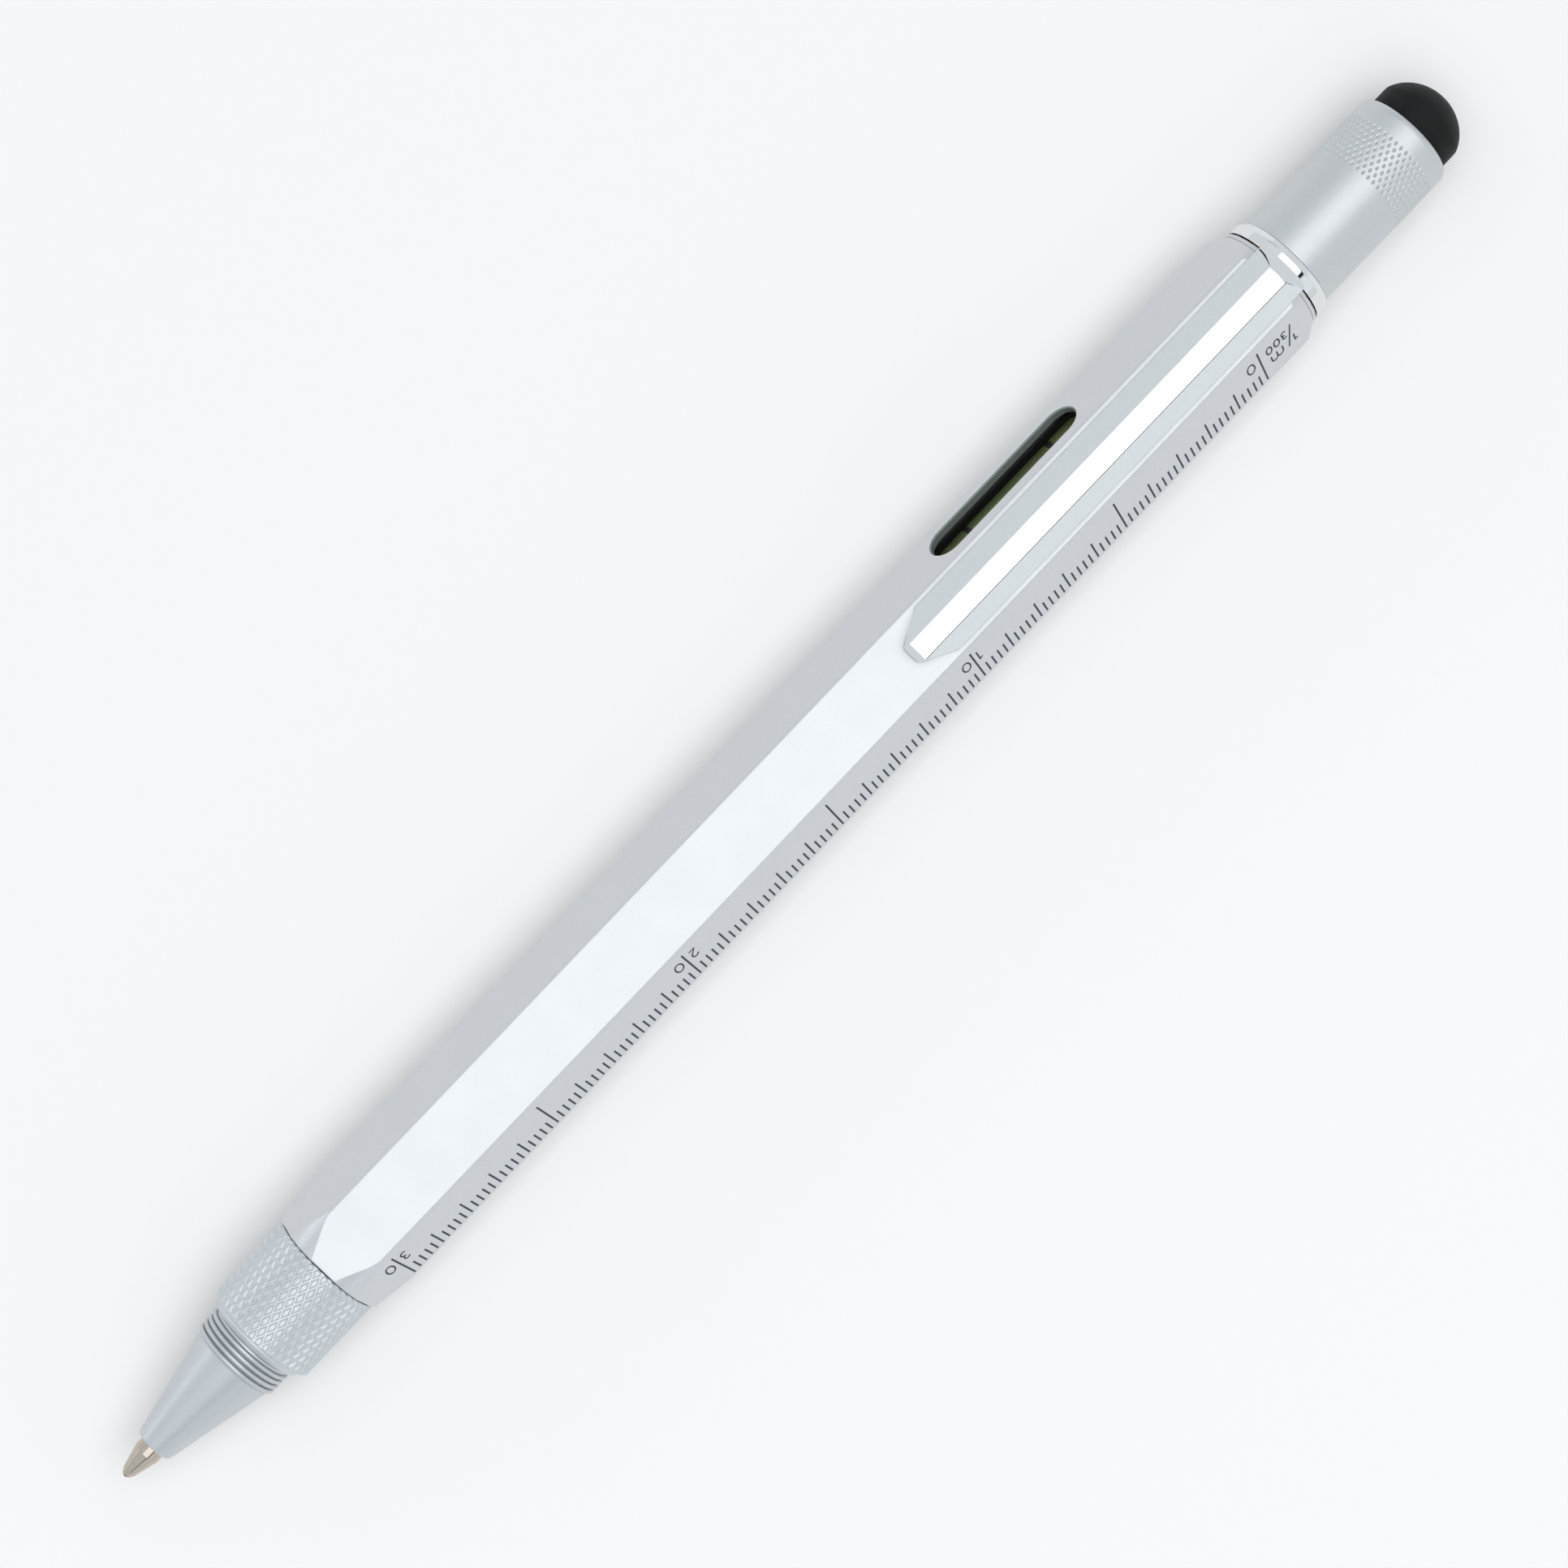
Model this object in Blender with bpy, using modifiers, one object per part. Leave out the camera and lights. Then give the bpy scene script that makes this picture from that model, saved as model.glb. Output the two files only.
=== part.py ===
# Multi tool pen, in metres. A hexagonal barrel carries a spirit level behind a window and, at the
# back, a pocket clip and the socket of a two-ended bit under a touch-screen cap. The knurled grip
# twists half a turn and a helical slot moves the refill in and out.
# The pen lies along X, its point towards -X and its clip on top, with one flat resting at Z = 0.
import math

import bmesh
import bpy
from mathutils import Matrix, Vector

# Lengths along the pen, from the point to the rubber dome
POINT_PROTRUSION = 0.00317
NOSE_LENGTH = 0.0119
GRIP_LENGTH = 0.0084
TWIST_GAP = 0.00018
BARREL_LENGTH = 0.11045
RING_LENGTH = 0.0016
CAP_LENGTH = 0.0143
DOME_LENGTH = 0.00426

# Clearances: faces that seat on each other, fixed fits, turning or sliding fits
SEAT_GAP = 0.00006
FIXED_GAP = 0.00006
RUNNING_GAP = 0.00009

# Barrel
ACROSS_FLATS = 0.010
BARREL_CORNER_RADIUS = 0.0003
BARREL_WALL = 0.00055
BORE_CORNER_RADIUS = 0.002
FRONT_END_RADIUS = 0.0052
FRONT_CONE_LENGTH = 0.00375
REAR_END_RADIUS = 0.005
REAR_CHAMFER_LENGTH = 0.00145
REAR_STEP_RADIUS = 0.00493
REAR_STEP_LENGTH = 0.00022
WINDOW_LENGTH = 0.01615
WINDOW_WIDTH = 0.00355
WINDOW_FROM_REAR = 0.0273

# Twist grip, its spindle and the bush that it turns in
GRIP_RADIUS = 0.00493
GRIP_FRONT_RADIUS = 0.0040
GRIP_CHAMFER_LENGTH = 0.0009
GRIP_WALL = 0.00095
GRIP_LIP_LENGTH = 0.0011
GRIP_REAR_CHAMFER = 0.0001
KNURL_DEPTH = 0.00024
KNURL_COUNT = 42
KNURL_HALF_ROWS = 10
SPINDLE_NECK_RADIUS = 0.0032
SPINDLE_TAIL_LENGTH = 0.0016
SPINDLE_THREAD_LENGTH = 0.0047
THRUST_GAP = 0.00008
BUSH_LENGTH = 0.0072
RING_GROOVE_DEPTH = 0.0003
SNAP_RING_RADIUS = 0.0040
SNAP_RING_THICKNESS = 0.0006
SNAP_RING_MOUTH = 0.0030
O_RING_SECTION_RADIUS = 0.00021
O_RING_FROM_FRONT = 0.0032

# Nose cone
NOSE_TIP_RADIUS = 0.00140
NOSE_TIP_CHAMFER = 0.00035
NOSE_SHOULDER_RADIUS = 0.00164
NOSE_CONE_END_RADIUS = 0.00364
RIB_RADIUS = 0.00394
RIB_ROOT_RADIUS = 0.00362
RIB_PITCH = 0.0005
RIB_COUNT = 4
NOSE_SPIGOT_RADIUS = 0.00302
NOSE_SPIGOT_LENGTH = 0.0048
NOSE_GUIDE_LENGTH = 0.0008
NOSE_BORE_RADIUS = 0.0015
NOSE_REAR_BORE_RADIUS = 0.0021
NOSE_REAR_BORE_START = 0.0068

# Refill and the cam that moves it
REFILL_LENGTH = 0.067
REFILL_RADIUS = 0.001175
REFILL_WALL = 0.0002
TIP_RADIUS = 0.00114
TIP_CONE_LENGTH = 0.00242
TIP_NOZZLE_LENGTH = 0.00056
TIP_NOZZLE_RADIUS = 0.00061
TIP_LIP_WALL = 0.00007
TIP_BODY_LENGTH = 0.0095
TIP_TAIL_LENGTH = 0.0025
INK_CHANNEL_RADIUS = 0.00022
BALL_RADIUS = 0.00035
BALL_GAP = 0.00003
BALL_LIP_SHARE = 0.5
INK_FREE_LENGTH = 0.00894
CAM_TRAVEL = 0.0044
CAM_OUTER_RADIUS = 0.0025
CAM_WALL = 0.00045
CAM_SEAT_IN_GRIP = 0.0058
CAM_END_MARGIN = 0.0015
PIN_RADIUS = 0.0006
PIN_REACH = 0.0037
PIN_DEPTH = 0.0011
PIN_GAP = 0.00012
PIN_BEHIND_REFILL = 0.002
CARRIER_LENGTH = 0.007
CARRIER_GRIP_LENGTH = 0.0032
GUIDE_LENGTH = 0.018

# Spirit level
VIAL_RADIUS = 0.00395
VIAL_WALL = 0.00075
VIAL_LENGTH = 0.018
VIAL_END_WALL = 0.001
VIAL_PLUG_LENGTH = 0.0016
LINER_GAP = 0.0002
LINER_END_WALL = 0.001
LINER_END_HOLE_RADIUS = 0.0024
BUBBLE_LENGTH = 0.0084
BUBBLE_WIDTH = 0.0042
BUBBLE_DEPTH = 0.0012

# Clip and its ring
RING_RADIUS = 0.00495
RING_BEVEL_LENGTH = 0.00072
RING_REAR_RADIUS = 0.00458
CLIP_LENGTH = 0.0433
CLIP_RISE = 0.00165
CLIP_AIR = 0.00048
CLIP_WIDTH = 0.00484
CLIP_FLAT_WIDTH = 0.00178
CLIP_FACET_DROP = 0.00088
CLIP_END_WIDTH = 0.0016
CLIP_END_BEVEL = 0.0005
CLIP_ROUNDING_LENGTH = 0.0034
CLIP_BEAD_FROM_END = 0.0019
CLIP_BEAD_LENGTH = 0.0022
CLIP_SHOULDER_LENGTH = 0.00125
CLIP_FOOT_LENGTH = 0.0004
CLIP_FOOT_CORNER = 0.0005

# Bit holder, bit and magnet
HOLDER_DEPTH = 0.0129
SPIGOT_RADIUS = 0.00345
SPIGOT_LENGTH = 0.0065
SPIGOT_CHAMFER = 0.0003
NUT_RADIUS = 0.00395
NUT_LENGTH = 0.0009
BIT_ACROSS_FLATS = 0.004
BIT_CORNER_RADIUS = 0.00015
BIT_HEX_LENGTH = 0.012
BIT_TIP_LENGTH = 0.0051
BIT_TIP_RADIUS = 0.0015
BIT_CHAMFER = 0.0005
SOCKET_GAP = 0.00007
SOCKET_DEPTH = 0.0116
BLADE_THICKNESS = 0.0005
BLADE_LENGTH = 0.0036
CROSS_POINT_RADIUS = 0.0004
CROSS_POINT_LENGTH = 0.0014
FLUTE_LENGTH = 0.0032
FLUTE_ROOT_RADIUS = 0.0004
MAGNET_RADIUS = 0.002
MAGNET_LENGTH = 0.002

# Cap and stylus
CAP_RADIUS = 0.00452
CAP_END_RADIUS = 0.00397
CAP_END_ROUNDING = 0.0008
CAP_BIT_BORE_RADIUS = 0.0029
CAP_END_WALL = 0.0024
CAP_THREAD_LENGTH = 0.0052
CAP_COUNTERBORE_LENGTH = 0.0011
DOME_RADIUS = 0.00388
DOME_RIM_LENGTH = 0.0004
DOME_WALL = 0.0008
DOME_FLANGE = 0.0006
CORE_STEM_RADIUS = 0.0015
CORE_HEAD_RADIUS = 0.0026
CORE_HEAD_LENGTH = 0.0008

# Modelling values
OVERRUN = 0.0005
MERGE_DISTANCE = 0.0000005
OUTER_SIDES = 40
DOME_SIDES = 36
VIAL_SIDES = 28
INNER_SIDES = 24
SMALL_SIDES = 16

# Outlines as shares of the sizes that they follow: share of the length, share of the rise
CLIP_SHOULDER_SHARES = ((0.0, 1.0), (0.42, 0.75), (0.7, 0.5), (0.88, 0.26), (1.0, 0.0))
CLIP_END_CURVE_SHARES = (0.7, 0.87)
RIB_SHARES = ((0.16, 0.67), (0.46, 1.0), (0.76, 0.67), (0.92, 0.0))

# Places along the pen
OVERALL_LENGTH = (POINT_PROTRUSION + NOSE_LENGTH + GRIP_LENGTH + TWIST_GAP + BARREL_LENGTH
                  + RING_LENGTH + CAP_LENGTH + DOME_LENGTH + 4 * SEAT_GAP)
POINT_X = -OVERALL_LENGTH / 2
NOSE_X = POINT_X + POINT_PROTRUSION
GRIP_X = NOSE_X + NOSE_LENGTH + SEAT_GAP
BARREL_X = GRIP_X + GRIP_LENGTH + TWIST_GAP
BARREL_REAR_X = BARREL_X + BARREL_LENGTH
RING_X = BARREL_REAR_X + SEAT_GAP
RING_REAR_X = RING_X + RING_LENGTH
CAP_X = RING_REAR_X + SEAT_GAP
DOME_X = CAP_X + CAP_LENGTH + SEAT_GAP
REFILL_REAR_X = POINT_X + REFILL_LENGTH
PIN_X = REFILL_REAR_X + PIN_BEHIND_REFILL
WINDOW_X = BARREL_REAR_X - WINDOW_FROM_REAR
HOLDER_X = BARREL_REAR_X - HOLDER_DEPTH
SPIGOT_END_X = BARREL_REAR_X + SPIGOT_LENGTH

# Radii that follow from others
AXIS_Z = ACROSS_FLATS / 2
INSERT_RADIUS = ACROSS_FLATS / 2 - BARREL_WALL - FIXED_GAP
GRIP_BORE_RADIUS = GRIP_RADIUS - GRIP_WALL
SPINDLE_THREAD_RADIUS = NOSE_SPIGOT_RADIUS + FIXED_GAP
CAM_BORE_RADIUS = CAM_OUTER_RADIUS - CAM_WALL
CAVITY_RADIUS = VIAL_RADIUS - VIAL_WALL
SLOT_RADIUS = PIN_RADIUS + PIN_GAP

# The window's face lies to the left of the clip, a sixth of a turn down
WINDOW_TURN = math.radians(-60)
ALONG_PEN = (0, math.radians(90), 0)


def clear_scene():
    for item in list(bpy.data.objects):
        bpy.data.objects.remove(item, do_unlink=True)


def new_collection(name):
    collection = bpy.data.collections.new(name)
    bpy.context.scene.collection.children.link(collection)
    return collection


def material(name, colour, roughness, metallic):
    made = bpy.data.materials.new(name)
    made.use_nodes = True
    shader = made.node_tree.nodes["Principled BSDF"]
    shader.inputs["Base Color"].default_value = (*colour, 1)
    shader.inputs["Roughness"].default_value = roughness
    shader.inputs["Metallic"].default_value = metallic
    made.diffuse_color = (*colour, 1)
    return made


def pivot(name, place):
    empty = bpy.data.objects.new(name, None)
    empty.location = place
    PEN.objects.link(empty)
    return empty


def add_object(name, mesh, place, turn, parent):
    # A piece is placed in the pen's frame; a piece with no parent is a cutter
    made = bpy.data.objects.new(name, mesh)
    made.rotation_euler = turn
    made.location = place
    if parent is None:
        CUTTERS.objects.link(made)
        made.hide_render = True
        made.display_type = "WIRE"
    else:
        PEN.objects.link(made)
        made.parent = parent
        made.location = Vector(place) - parent.location
    return made


def finish(piece, look):
    piece.data.materials.clear()
    piece.data.materials.append(look)
    piece.data.shade_smooth()
    piece.data.set_sharp_from_angle(angle=math.radians(30))
    return piece


def turned(name, start_x, profile, sides, parent=None):
    # The profile is a closed loop of (along, radius) points: out over the front, back along the
    # outside, in over the rear and forward through the bore. No edge is drawn along the axis.
    points = [(radius, 0, along) for along, radius in reversed(profile)]
    edges = []
    for index in range(len(points)):
        following = (index + 1) % len(points)
        if points[index][0] > 0 or points[following][0] > 0:
            edges.append((index, following))
    mesh = bpy.data.meshes.new(name)
    mesh.from_pydata(points, edges, [])
    made = add_object(name, mesh, (start_x, 0, AXIS_Z), ALONG_PEN, parent)
    screw = made.modifiers.new("turn", "SCREW")
    screw.axis = "Z"
    screw.steps = sides
    screw.render_steps = sides
    screw.use_merge_vertices = True
    screw.merge_threshold = MERGE_DISTANCE
    return made


def tube(name, start_x, length, inner, outer, sides, parent=None):
    profile = [(0, inner), (0, outer), (length, outer), (length, inner)]
    return turned(name, start_x, profile, sides, parent)


def rod(name, start_x, length, radius, sides, parent=None):
    profile = [(0, 0), (0, radius), (length, radius), (length, 0)]
    return turned(name, start_x, profile, sides, parent)


def hex_bar(name, start_x, length, across_flats, corner_radius, segments, parent=None):
    # Hexagonal bar with flats up and down and its long edges rounded
    mesh = bpy.data.meshes.new(name)
    shape = bmesh.new()
    corner = across_flats / math.sqrt(3)
    bmesh.ops.create_cone(shape, cap_ends=True, segments=6, radius1=corner, radius2=corner, depth=length)
    bmesh.ops.translate(shape, verts=shape.verts, vec=(0, 0, length / 2))
    long_edges = [edge for edge in shape.edges if abs(edge.verts[0].co.z - edge.verts[1].co.z) > length / 2]
    tangent = corner_radius * math.tan(math.radians(30))
    bmesh.ops.bevel(shape, geom=long_edges, offset=tangent, offset_type="OFFSET", segments=segments,
                    profile=0.5, affect="EDGES")
    shape.to_mesh(mesh)
    shape.free()
    return add_object(name, mesh, (start_x, 0, AXIS_Z), ALONG_PEN, parent)


def box(name, size, place, turn=(0, 0, 0)):
    # A box cutter, by its sizes and its centre
    mesh = bpy.data.meshes.new(name)
    shape = bmesh.new()
    bmesh.ops.create_cube(shape, size=1)
    bmesh.ops.scale(shape, verts=shape.verts, vec=size)
    shape.to_mesh(mesh)
    shape.free()
    return add_object(name, mesh, place, turn, None)


def plate(name, outline, thickness, place, turn, parent=None):
    # A flat outline in its own XY plane, as thick as stated about that plane
    curve = bpy.data.curves.new(name, "CURVE")
    curve.dimensions = "2D"
    curve.fill_mode = "BOTH"
    curve.extrude = thickness / 2
    spline = curve.splines.new("POLY")
    spline.points.add(len(outline) - 1)
    for point, (across, up) in zip(spline.points, outline):
        point.co = (across, up, 0, 1)
    spline.use_cyclic_u = True
    return as_mesh(name, curve, place, turn, parent)


def as_mesh(name, curve, place, turn, parent):
    # The curve's mesh with its caps welded on
    drawn = bpy.data.objects.new(name + "_curve", curve)
    CUTTERS.objects.link(drawn)
    bpy.context.view_layer.update()
    graph = bpy.context.evaluated_depsgraph_get()
    mesh = bpy.data.meshes.new_from_object(drawn.evaluated_get(graph))
    bpy.data.objects.remove(drawn, do_unlink=True)
    shape = bmesh.new()
    shape.from_mesh(mesh)
    bmesh.ops.remove_doubles(shape, verts=shape.verts, dist=MERGE_DISTANCE)
    bmesh.ops.recalc_face_normals(shape, faces=shape.faces)
    shape.to_mesh(mesh)
    shape.free()
    return add_object(name, mesh, place, turn, parent)


def combine(piece, other, operation="DIFFERENCE"):
    modifier = piece.modifiers.new(other.name, "BOOLEAN")
    modifier.operation = operation
    modifier.object = other
    modifier.solver = "EXACT"


def arc(centre, radii, start, end, count):
    # Points on an ellipse from one angle to another, both included
    points = []
    for index in range(count):
        angle = math.radians(start + (end - start) * index / (count - 1))
        along = centre[0] + radii[0] * math.cos(angle)
        across = centre[1] + radii[1] * math.sin(angle)
        points.append((along, across))
    return points


def stadium(length, width, count=9):
    # A slot's outline: two half circles and the straight sides between them
    reach = (length - width) / 2
    half = width / 2
    right = arc((reach, 0), (half, half), -90, 90, count)
    left = arc((-reach, 0), (half, half), 90, 270, count)
    return right + left


def window_slot(name):
    # Slot through the barrel's left upper face, from outside to the middle of the pen
    outline = stadium(WINDOW_LENGTH, WINDOW_WIDTH)
    reach = ACROSS_FLATS / 2 + OVERRUN
    inner = CAVITY_RADIUS
    middle = (reach + inner) / 2
    place = (WINDOW_X, -middle * math.sin(WINDOW_TURN), AXIS_Z + middle * math.cos(WINDOW_TURN))
    return plate(name, outline, reach - inner, place, (WINDOW_TURN, 0, 0))


def build_barrel(body):
    corner = (ACROSS_FLATS / 2 - BARREL_CORNER_RADIUS) / math.cos(math.radians(30)) + BARREL_CORNER_RADIUS
    clear = corner + OVERRUN
    front_slope = FRONT_CONE_LENGTH / (corner - FRONT_END_RADIUS)
    rear_slope = REAR_CHAMFER_LENGTH / (corner - REAR_END_RADIUS)
    step = BARREL_LENGTH - REAR_STEP_LENGTH
    barrel = hex_bar("barrel", BARREL_X - OVERRUN, BARREL_LENGTH + 2 * OVERRUN, ACROSS_FLATS,
                     BARREL_CORNER_RADIUS, 3, body)
    ends = turned("barrel_ends", BARREL_X, [
        (0, 0),
        (0, FRONT_END_RADIUS),
        (front_slope * (clear - FRONT_END_RADIUS), clear),
        (step - rear_slope * (clear - REAR_END_RADIUS), clear),
        (step, REAR_END_RADIUS),
        (step, REAR_STEP_RADIUS),
        (BARREL_LENGTH, REAR_STEP_RADIUS),
        (BARREL_LENGTH, 0),
    ], OUTER_SIDES)
    bore = hex_bar("barrel_bore", BARREL_X - OVERRUN, BARREL_LENGTH + 2 * OVERRUN,
                   ACROSS_FLATS - 2 * BARREL_WALL, BORE_CORNER_RADIUS, 4)
    combine(barrel, ends, "INTERSECT")
    combine(barrel, bore)
    combine(barrel, window_slot("barrel_window"))
    finish(barrel, SILVER_PAINT)


def build_bush(body):
    bush = tube("front_bush", BARREL_X, BUSH_LENGTH, SPINDLE_NECK_RADIUS + RUNNING_GAP, INSERT_RADIUS,
                INNER_SIDES, body)
    finish(bush, BRASS)


def knurl(piece, radius, start, length):
    # Sink every second point of the rings into a diamond pattern and crease it along the valleys
    bpy.context.view_layer.update()
    graph = bpy.context.evaluated_depsgraph_get()
    mesh = bpy.data.meshes.new_from_object(piece.evaluated_get(graph))
    piece.modifiers.clear()
    piece.data = mesh
    half_row = length / KNURL_HALF_ROWS
    step = math.pi / KNURL_COUNT
    shape = bmesh.new()
    shape.from_mesh(mesh)
    low = set()
    band = set()
    for vertex in shape.verts:
        row = (vertex.co.z - start) / half_row
        around = math.hypot(vertex.co.x, vertex.co.y)
        if abs(around - radius) > MERGE_DISTANCE or not -0.1 < row < KNURL_HALF_ROWS + 0.1:
            continue
        band.add(vertex)
        column = round(math.atan2(vertex.co.y, vertex.co.x) / step)
        if (round(row) + column) % 2:
            low.add(vertex)
            vertex.co.x *= (radius - KNURL_DEPTH) / radius
            vertex.co.y *= (radius - KNURL_DEPTH) / radius
    for face in list(shape.faces):
        valley = [vertex for vertex in face.verts if vertex in low]
        if len(valley) == 2 and all(vertex in band for vertex in face.verts):
            bmesh.utils.face_split(face, valley[0], valley[1])
    shape.to_mesh(mesh)
    shape.free()


def build_grip(grip):
    knurl_length = GRIP_LENGTH - GRIP_REAR_CHAMFER - GRIP_CHAMFER_LENGTH
    profile = [(0, 0), (0, GRIP_FRONT_RADIUS)]
    for row in range(KNURL_HALF_ROWS + 1):
        profile.append((GRIP_CHAMFER_LENGTH + knurl_length * row / KNURL_HALF_ROWS, GRIP_RADIUS))
    profile += [(GRIP_LENGTH, GRIP_RADIUS - GRIP_REAR_CHAMFER), (GRIP_LENGTH, 0)]
    sleeve = turned("grip_sleeve", GRIP_X, profile, 2 * KNURL_COUNT, grip)
    knurl(sleeve, GRIP_RADIUS, GRIP_CHAMFER_LENGTH, knurl_length)
    lip_bore = NOSE_SPIGOT_RADIUS + RUNNING_GAP
    bore = turned("grip_bore", GRIP_X, [
        (-OVERRUN, 0),
        (-OVERRUN, lip_bore),
        (GRIP_LIP_LENGTH, lip_bore),
        (GRIP_LIP_LENGTH, GRIP_BORE_RADIUS),
        (GRIP_LENGTH + OVERRUN, GRIP_BORE_RADIUS),
        (GRIP_LENGTH + OVERRUN, 0),
    ], INNER_SIDES)
    combine(sleeve, bore)
    finish(sleeve, SATIN_STEEL)


def build_spindle(grip):
    # Head inside the grip sleeve, neck through the bush, with grooves for the two rings
    start_x = GRIP_X + GRIP_LIP_LENGTH + SEAT_GAP
    head = BARREL_X - THRUST_GAP - start_x
    bush_rear = BARREL_X + BUSH_LENGTH - start_x
    groove_start = bush_rear + SEAT_GAP
    groove_end = groove_start + SNAP_RING_THICKNESS + 2 * SEAT_GAP
    end = bush_rear + SPINDLE_TAIL_LENGTH
    groove_radius = SPINDLE_NECK_RADIUS - RING_GROOVE_DEPTH
    seal_middle = BARREL_X + O_RING_FROM_FRONT - start_x
    seal_half = O_RING_SECTION_RADIUS + RUNNING_GAP
    seal_radius = SPINDLE_NECK_RADIUS - 2 * O_RING_SECTION_RADIUS
    spindle = turned("twist_spindle", start_x, [
        (0, SPINDLE_THREAD_RADIUS),
        (0, GRIP_BORE_RADIUS - FIXED_GAP),
        (head, GRIP_BORE_RADIUS - FIXED_GAP),
        (head, SPINDLE_NECK_RADIUS),
        (seal_middle - seal_half, SPINDLE_NECK_RADIUS),
        (seal_middle - seal_half, seal_radius),
        (seal_middle + seal_half, seal_radius),
        (seal_middle + seal_half, SPINDLE_NECK_RADIUS),
        (groove_start, SPINDLE_NECK_RADIUS),
        (groove_start, groove_radius),
        (groove_end, groove_radius),
        (groove_end, SPINDLE_NECK_RADIUS),
        (end, SPINDLE_NECK_RADIUS),
        (end, CAM_OUTER_RADIUS + FIXED_GAP),
        (SPINDLE_THREAD_LENGTH, CAM_OUTER_RADIUS + FIXED_GAP),
        (SPINDLE_THREAD_LENGTH, SPINDLE_THREAD_RADIUS),
    ], INNER_SIDES, grip)
    finish(spindle, BRASS)
    snap_x = BARREL_X + BUSH_LENGTH + 2 * SEAT_GAP
    snap_ring = tube("retaining_ring", snap_x, SNAP_RING_THICKNESS, groove_radius + FIXED_GAP,
                     SNAP_RING_RADIUS, INNER_SIDES, grip)
    mouth = box("snap_ring_mouth", (2 * SNAP_RING_THICKNESS, SNAP_RING_MOUTH, SNAP_RING_RADIUS + OVERRUN),
                (snap_x + SNAP_RING_THICKNESS / 2, 0, AXIS_Z - (SNAP_RING_RADIUS + OVERRUN) / 2))
    combine(snap_ring, mouth)
    finish(snap_ring, SPRING_STEEL)
    seal_centre_radius = seal_radius + O_RING_SECTION_RADIUS + FIXED_GAP / 2
    section = arc((0, seal_centre_radius), (O_RING_SECTION_RADIUS, O_RING_SECTION_RADIUS), 180, -120, 6)
    seal = turned("grip_o_ring", start_x + seal_middle, section, INNER_SIDES, grip)
    finish(seal, RUBBER)


def build_nose(grip):
    ribs_start = NOSE_LENGTH - RIB_COUNT * RIB_PITCH
    cone_end = ribs_start - RIB_PITCH / 2
    guide_radius = TIP_RADIUS + RUNNING_GAP
    end = NOSE_LENGTH + NOSE_SPIGOT_LENGTH
    rise = RIB_RADIUS - RIB_ROOT_RADIUS
    profile = [
        (0, guide_radius),
        (0, NOSE_TIP_RADIUS),
        (NOSE_TIP_CHAMFER, NOSE_SHOULDER_RADIUS),
        (cone_end, NOSE_CONE_END_RADIUS),
        (cone_end, 2 * RIB_ROOT_RADIUS - NOSE_CONE_END_RADIUS),
        (ribs_start, RIB_ROOT_RADIUS),
    ]
    for rib in range(RIB_COUNT):
        front = ribs_start + rib * RIB_PITCH
        for pitch_share, rise_share in RIB_SHARES:
            profile.append((front + pitch_share * RIB_PITCH, RIB_ROOT_RADIUS + rise_share * rise))
    profile += [
        (NOSE_LENGTH, RIB_ROOT_RADIUS),
        (NOSE_LENGTH, NOSE_SPIGOT_RADIUS),
        (end, NOSE_SPIGOT_RADIUS),
        (end, NOSE_REAR_BORE_RADIUS),
        (NOSE_REAR_BORE_START, NOSE_REAR_BORE_RADIUS),
        (NOSE_REAR_BORE_START, NOSE_BORE_RADIUS),
        (NOSE_GUIDE_LENGTH, NOSE_BORE_RADIUS),
        (NOSE_GUIDE_LENGTH, guide_radius),
    ]
    finish(turned("nose_cone", NOSE_X, profile, DOME_SIDES, grip), SATIN_STEEL)


def helix(name, radius, start, end, travel, thickness, steps):
    # A round rod bent into a helix about the pen's axis, from one angle and place to another
    curve = bpy.data.curves.new(name, "CURVE")
    curve.dimensions = "3D"
    curve.bevel_depth = thickness
    curve.bevel_resolution = 4
    curve.use_fill_caps = True
    spline = curve.splines.new("POLY")
    spline.points.add(steps)
    for index, point in enumerate(spline.points):
        share = index / steps
        angle = start + (end - start) * share
        point.co = (travel * share, -radius * math.sin(angle), radius * math.cos(angle), 1)
    return curve


def build_cam(grip):
    # The slot runs half a turn round the tube while it moves back by the travel of the refill
    start_x = GRIP_X + CAM_SEAT_IN_GRIP
    end_x = PIN_X + CAM_TRAVEL + SLOT_RADIUS + CAM_END_MARGIN
    cam = tube("cam_tube", start_x, end_x - start_x, CAM_BORE_RADIUS, CAM_OUTER_RADIUS, INNER_SIDES, grip)
    middle_radius = (CAM_BORE_RADIUS + CAM_OUTER_RADIUS) / 2
    slope = CAM_TRAVEL / math.pi
    extra = SLOT_RADIUS / math.hypot(slope, middle_radius)
    travel = CAM_TRAVEL + 2 * extra * slope
    curve = helix("cam_slot", middle_radius, extra, -math.pi - extra, travel, SLOT_RADIUS, 20)
    slot = as_mesh("cam_slot", curve, (PIN_X - extra * slope, 0, AXIS_Z), (0, 0, 0), None)
    combine(cam, slot)
    finish(cam, BRASS)


def radial_rod(name, centre_x, inner, outer, radius, sides, parent=None):
    # A round rod that stands up from the pen's axis, between two heights
    profile = [(0, 0), (0, radius), (outer - inner, radius), (outer - inner, 0)]
    made = turned(name, centre_x, profile, sides, parent)
    made.rotation_euler = (0, 0, 0)
    made.location.z += inner
    return made


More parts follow.
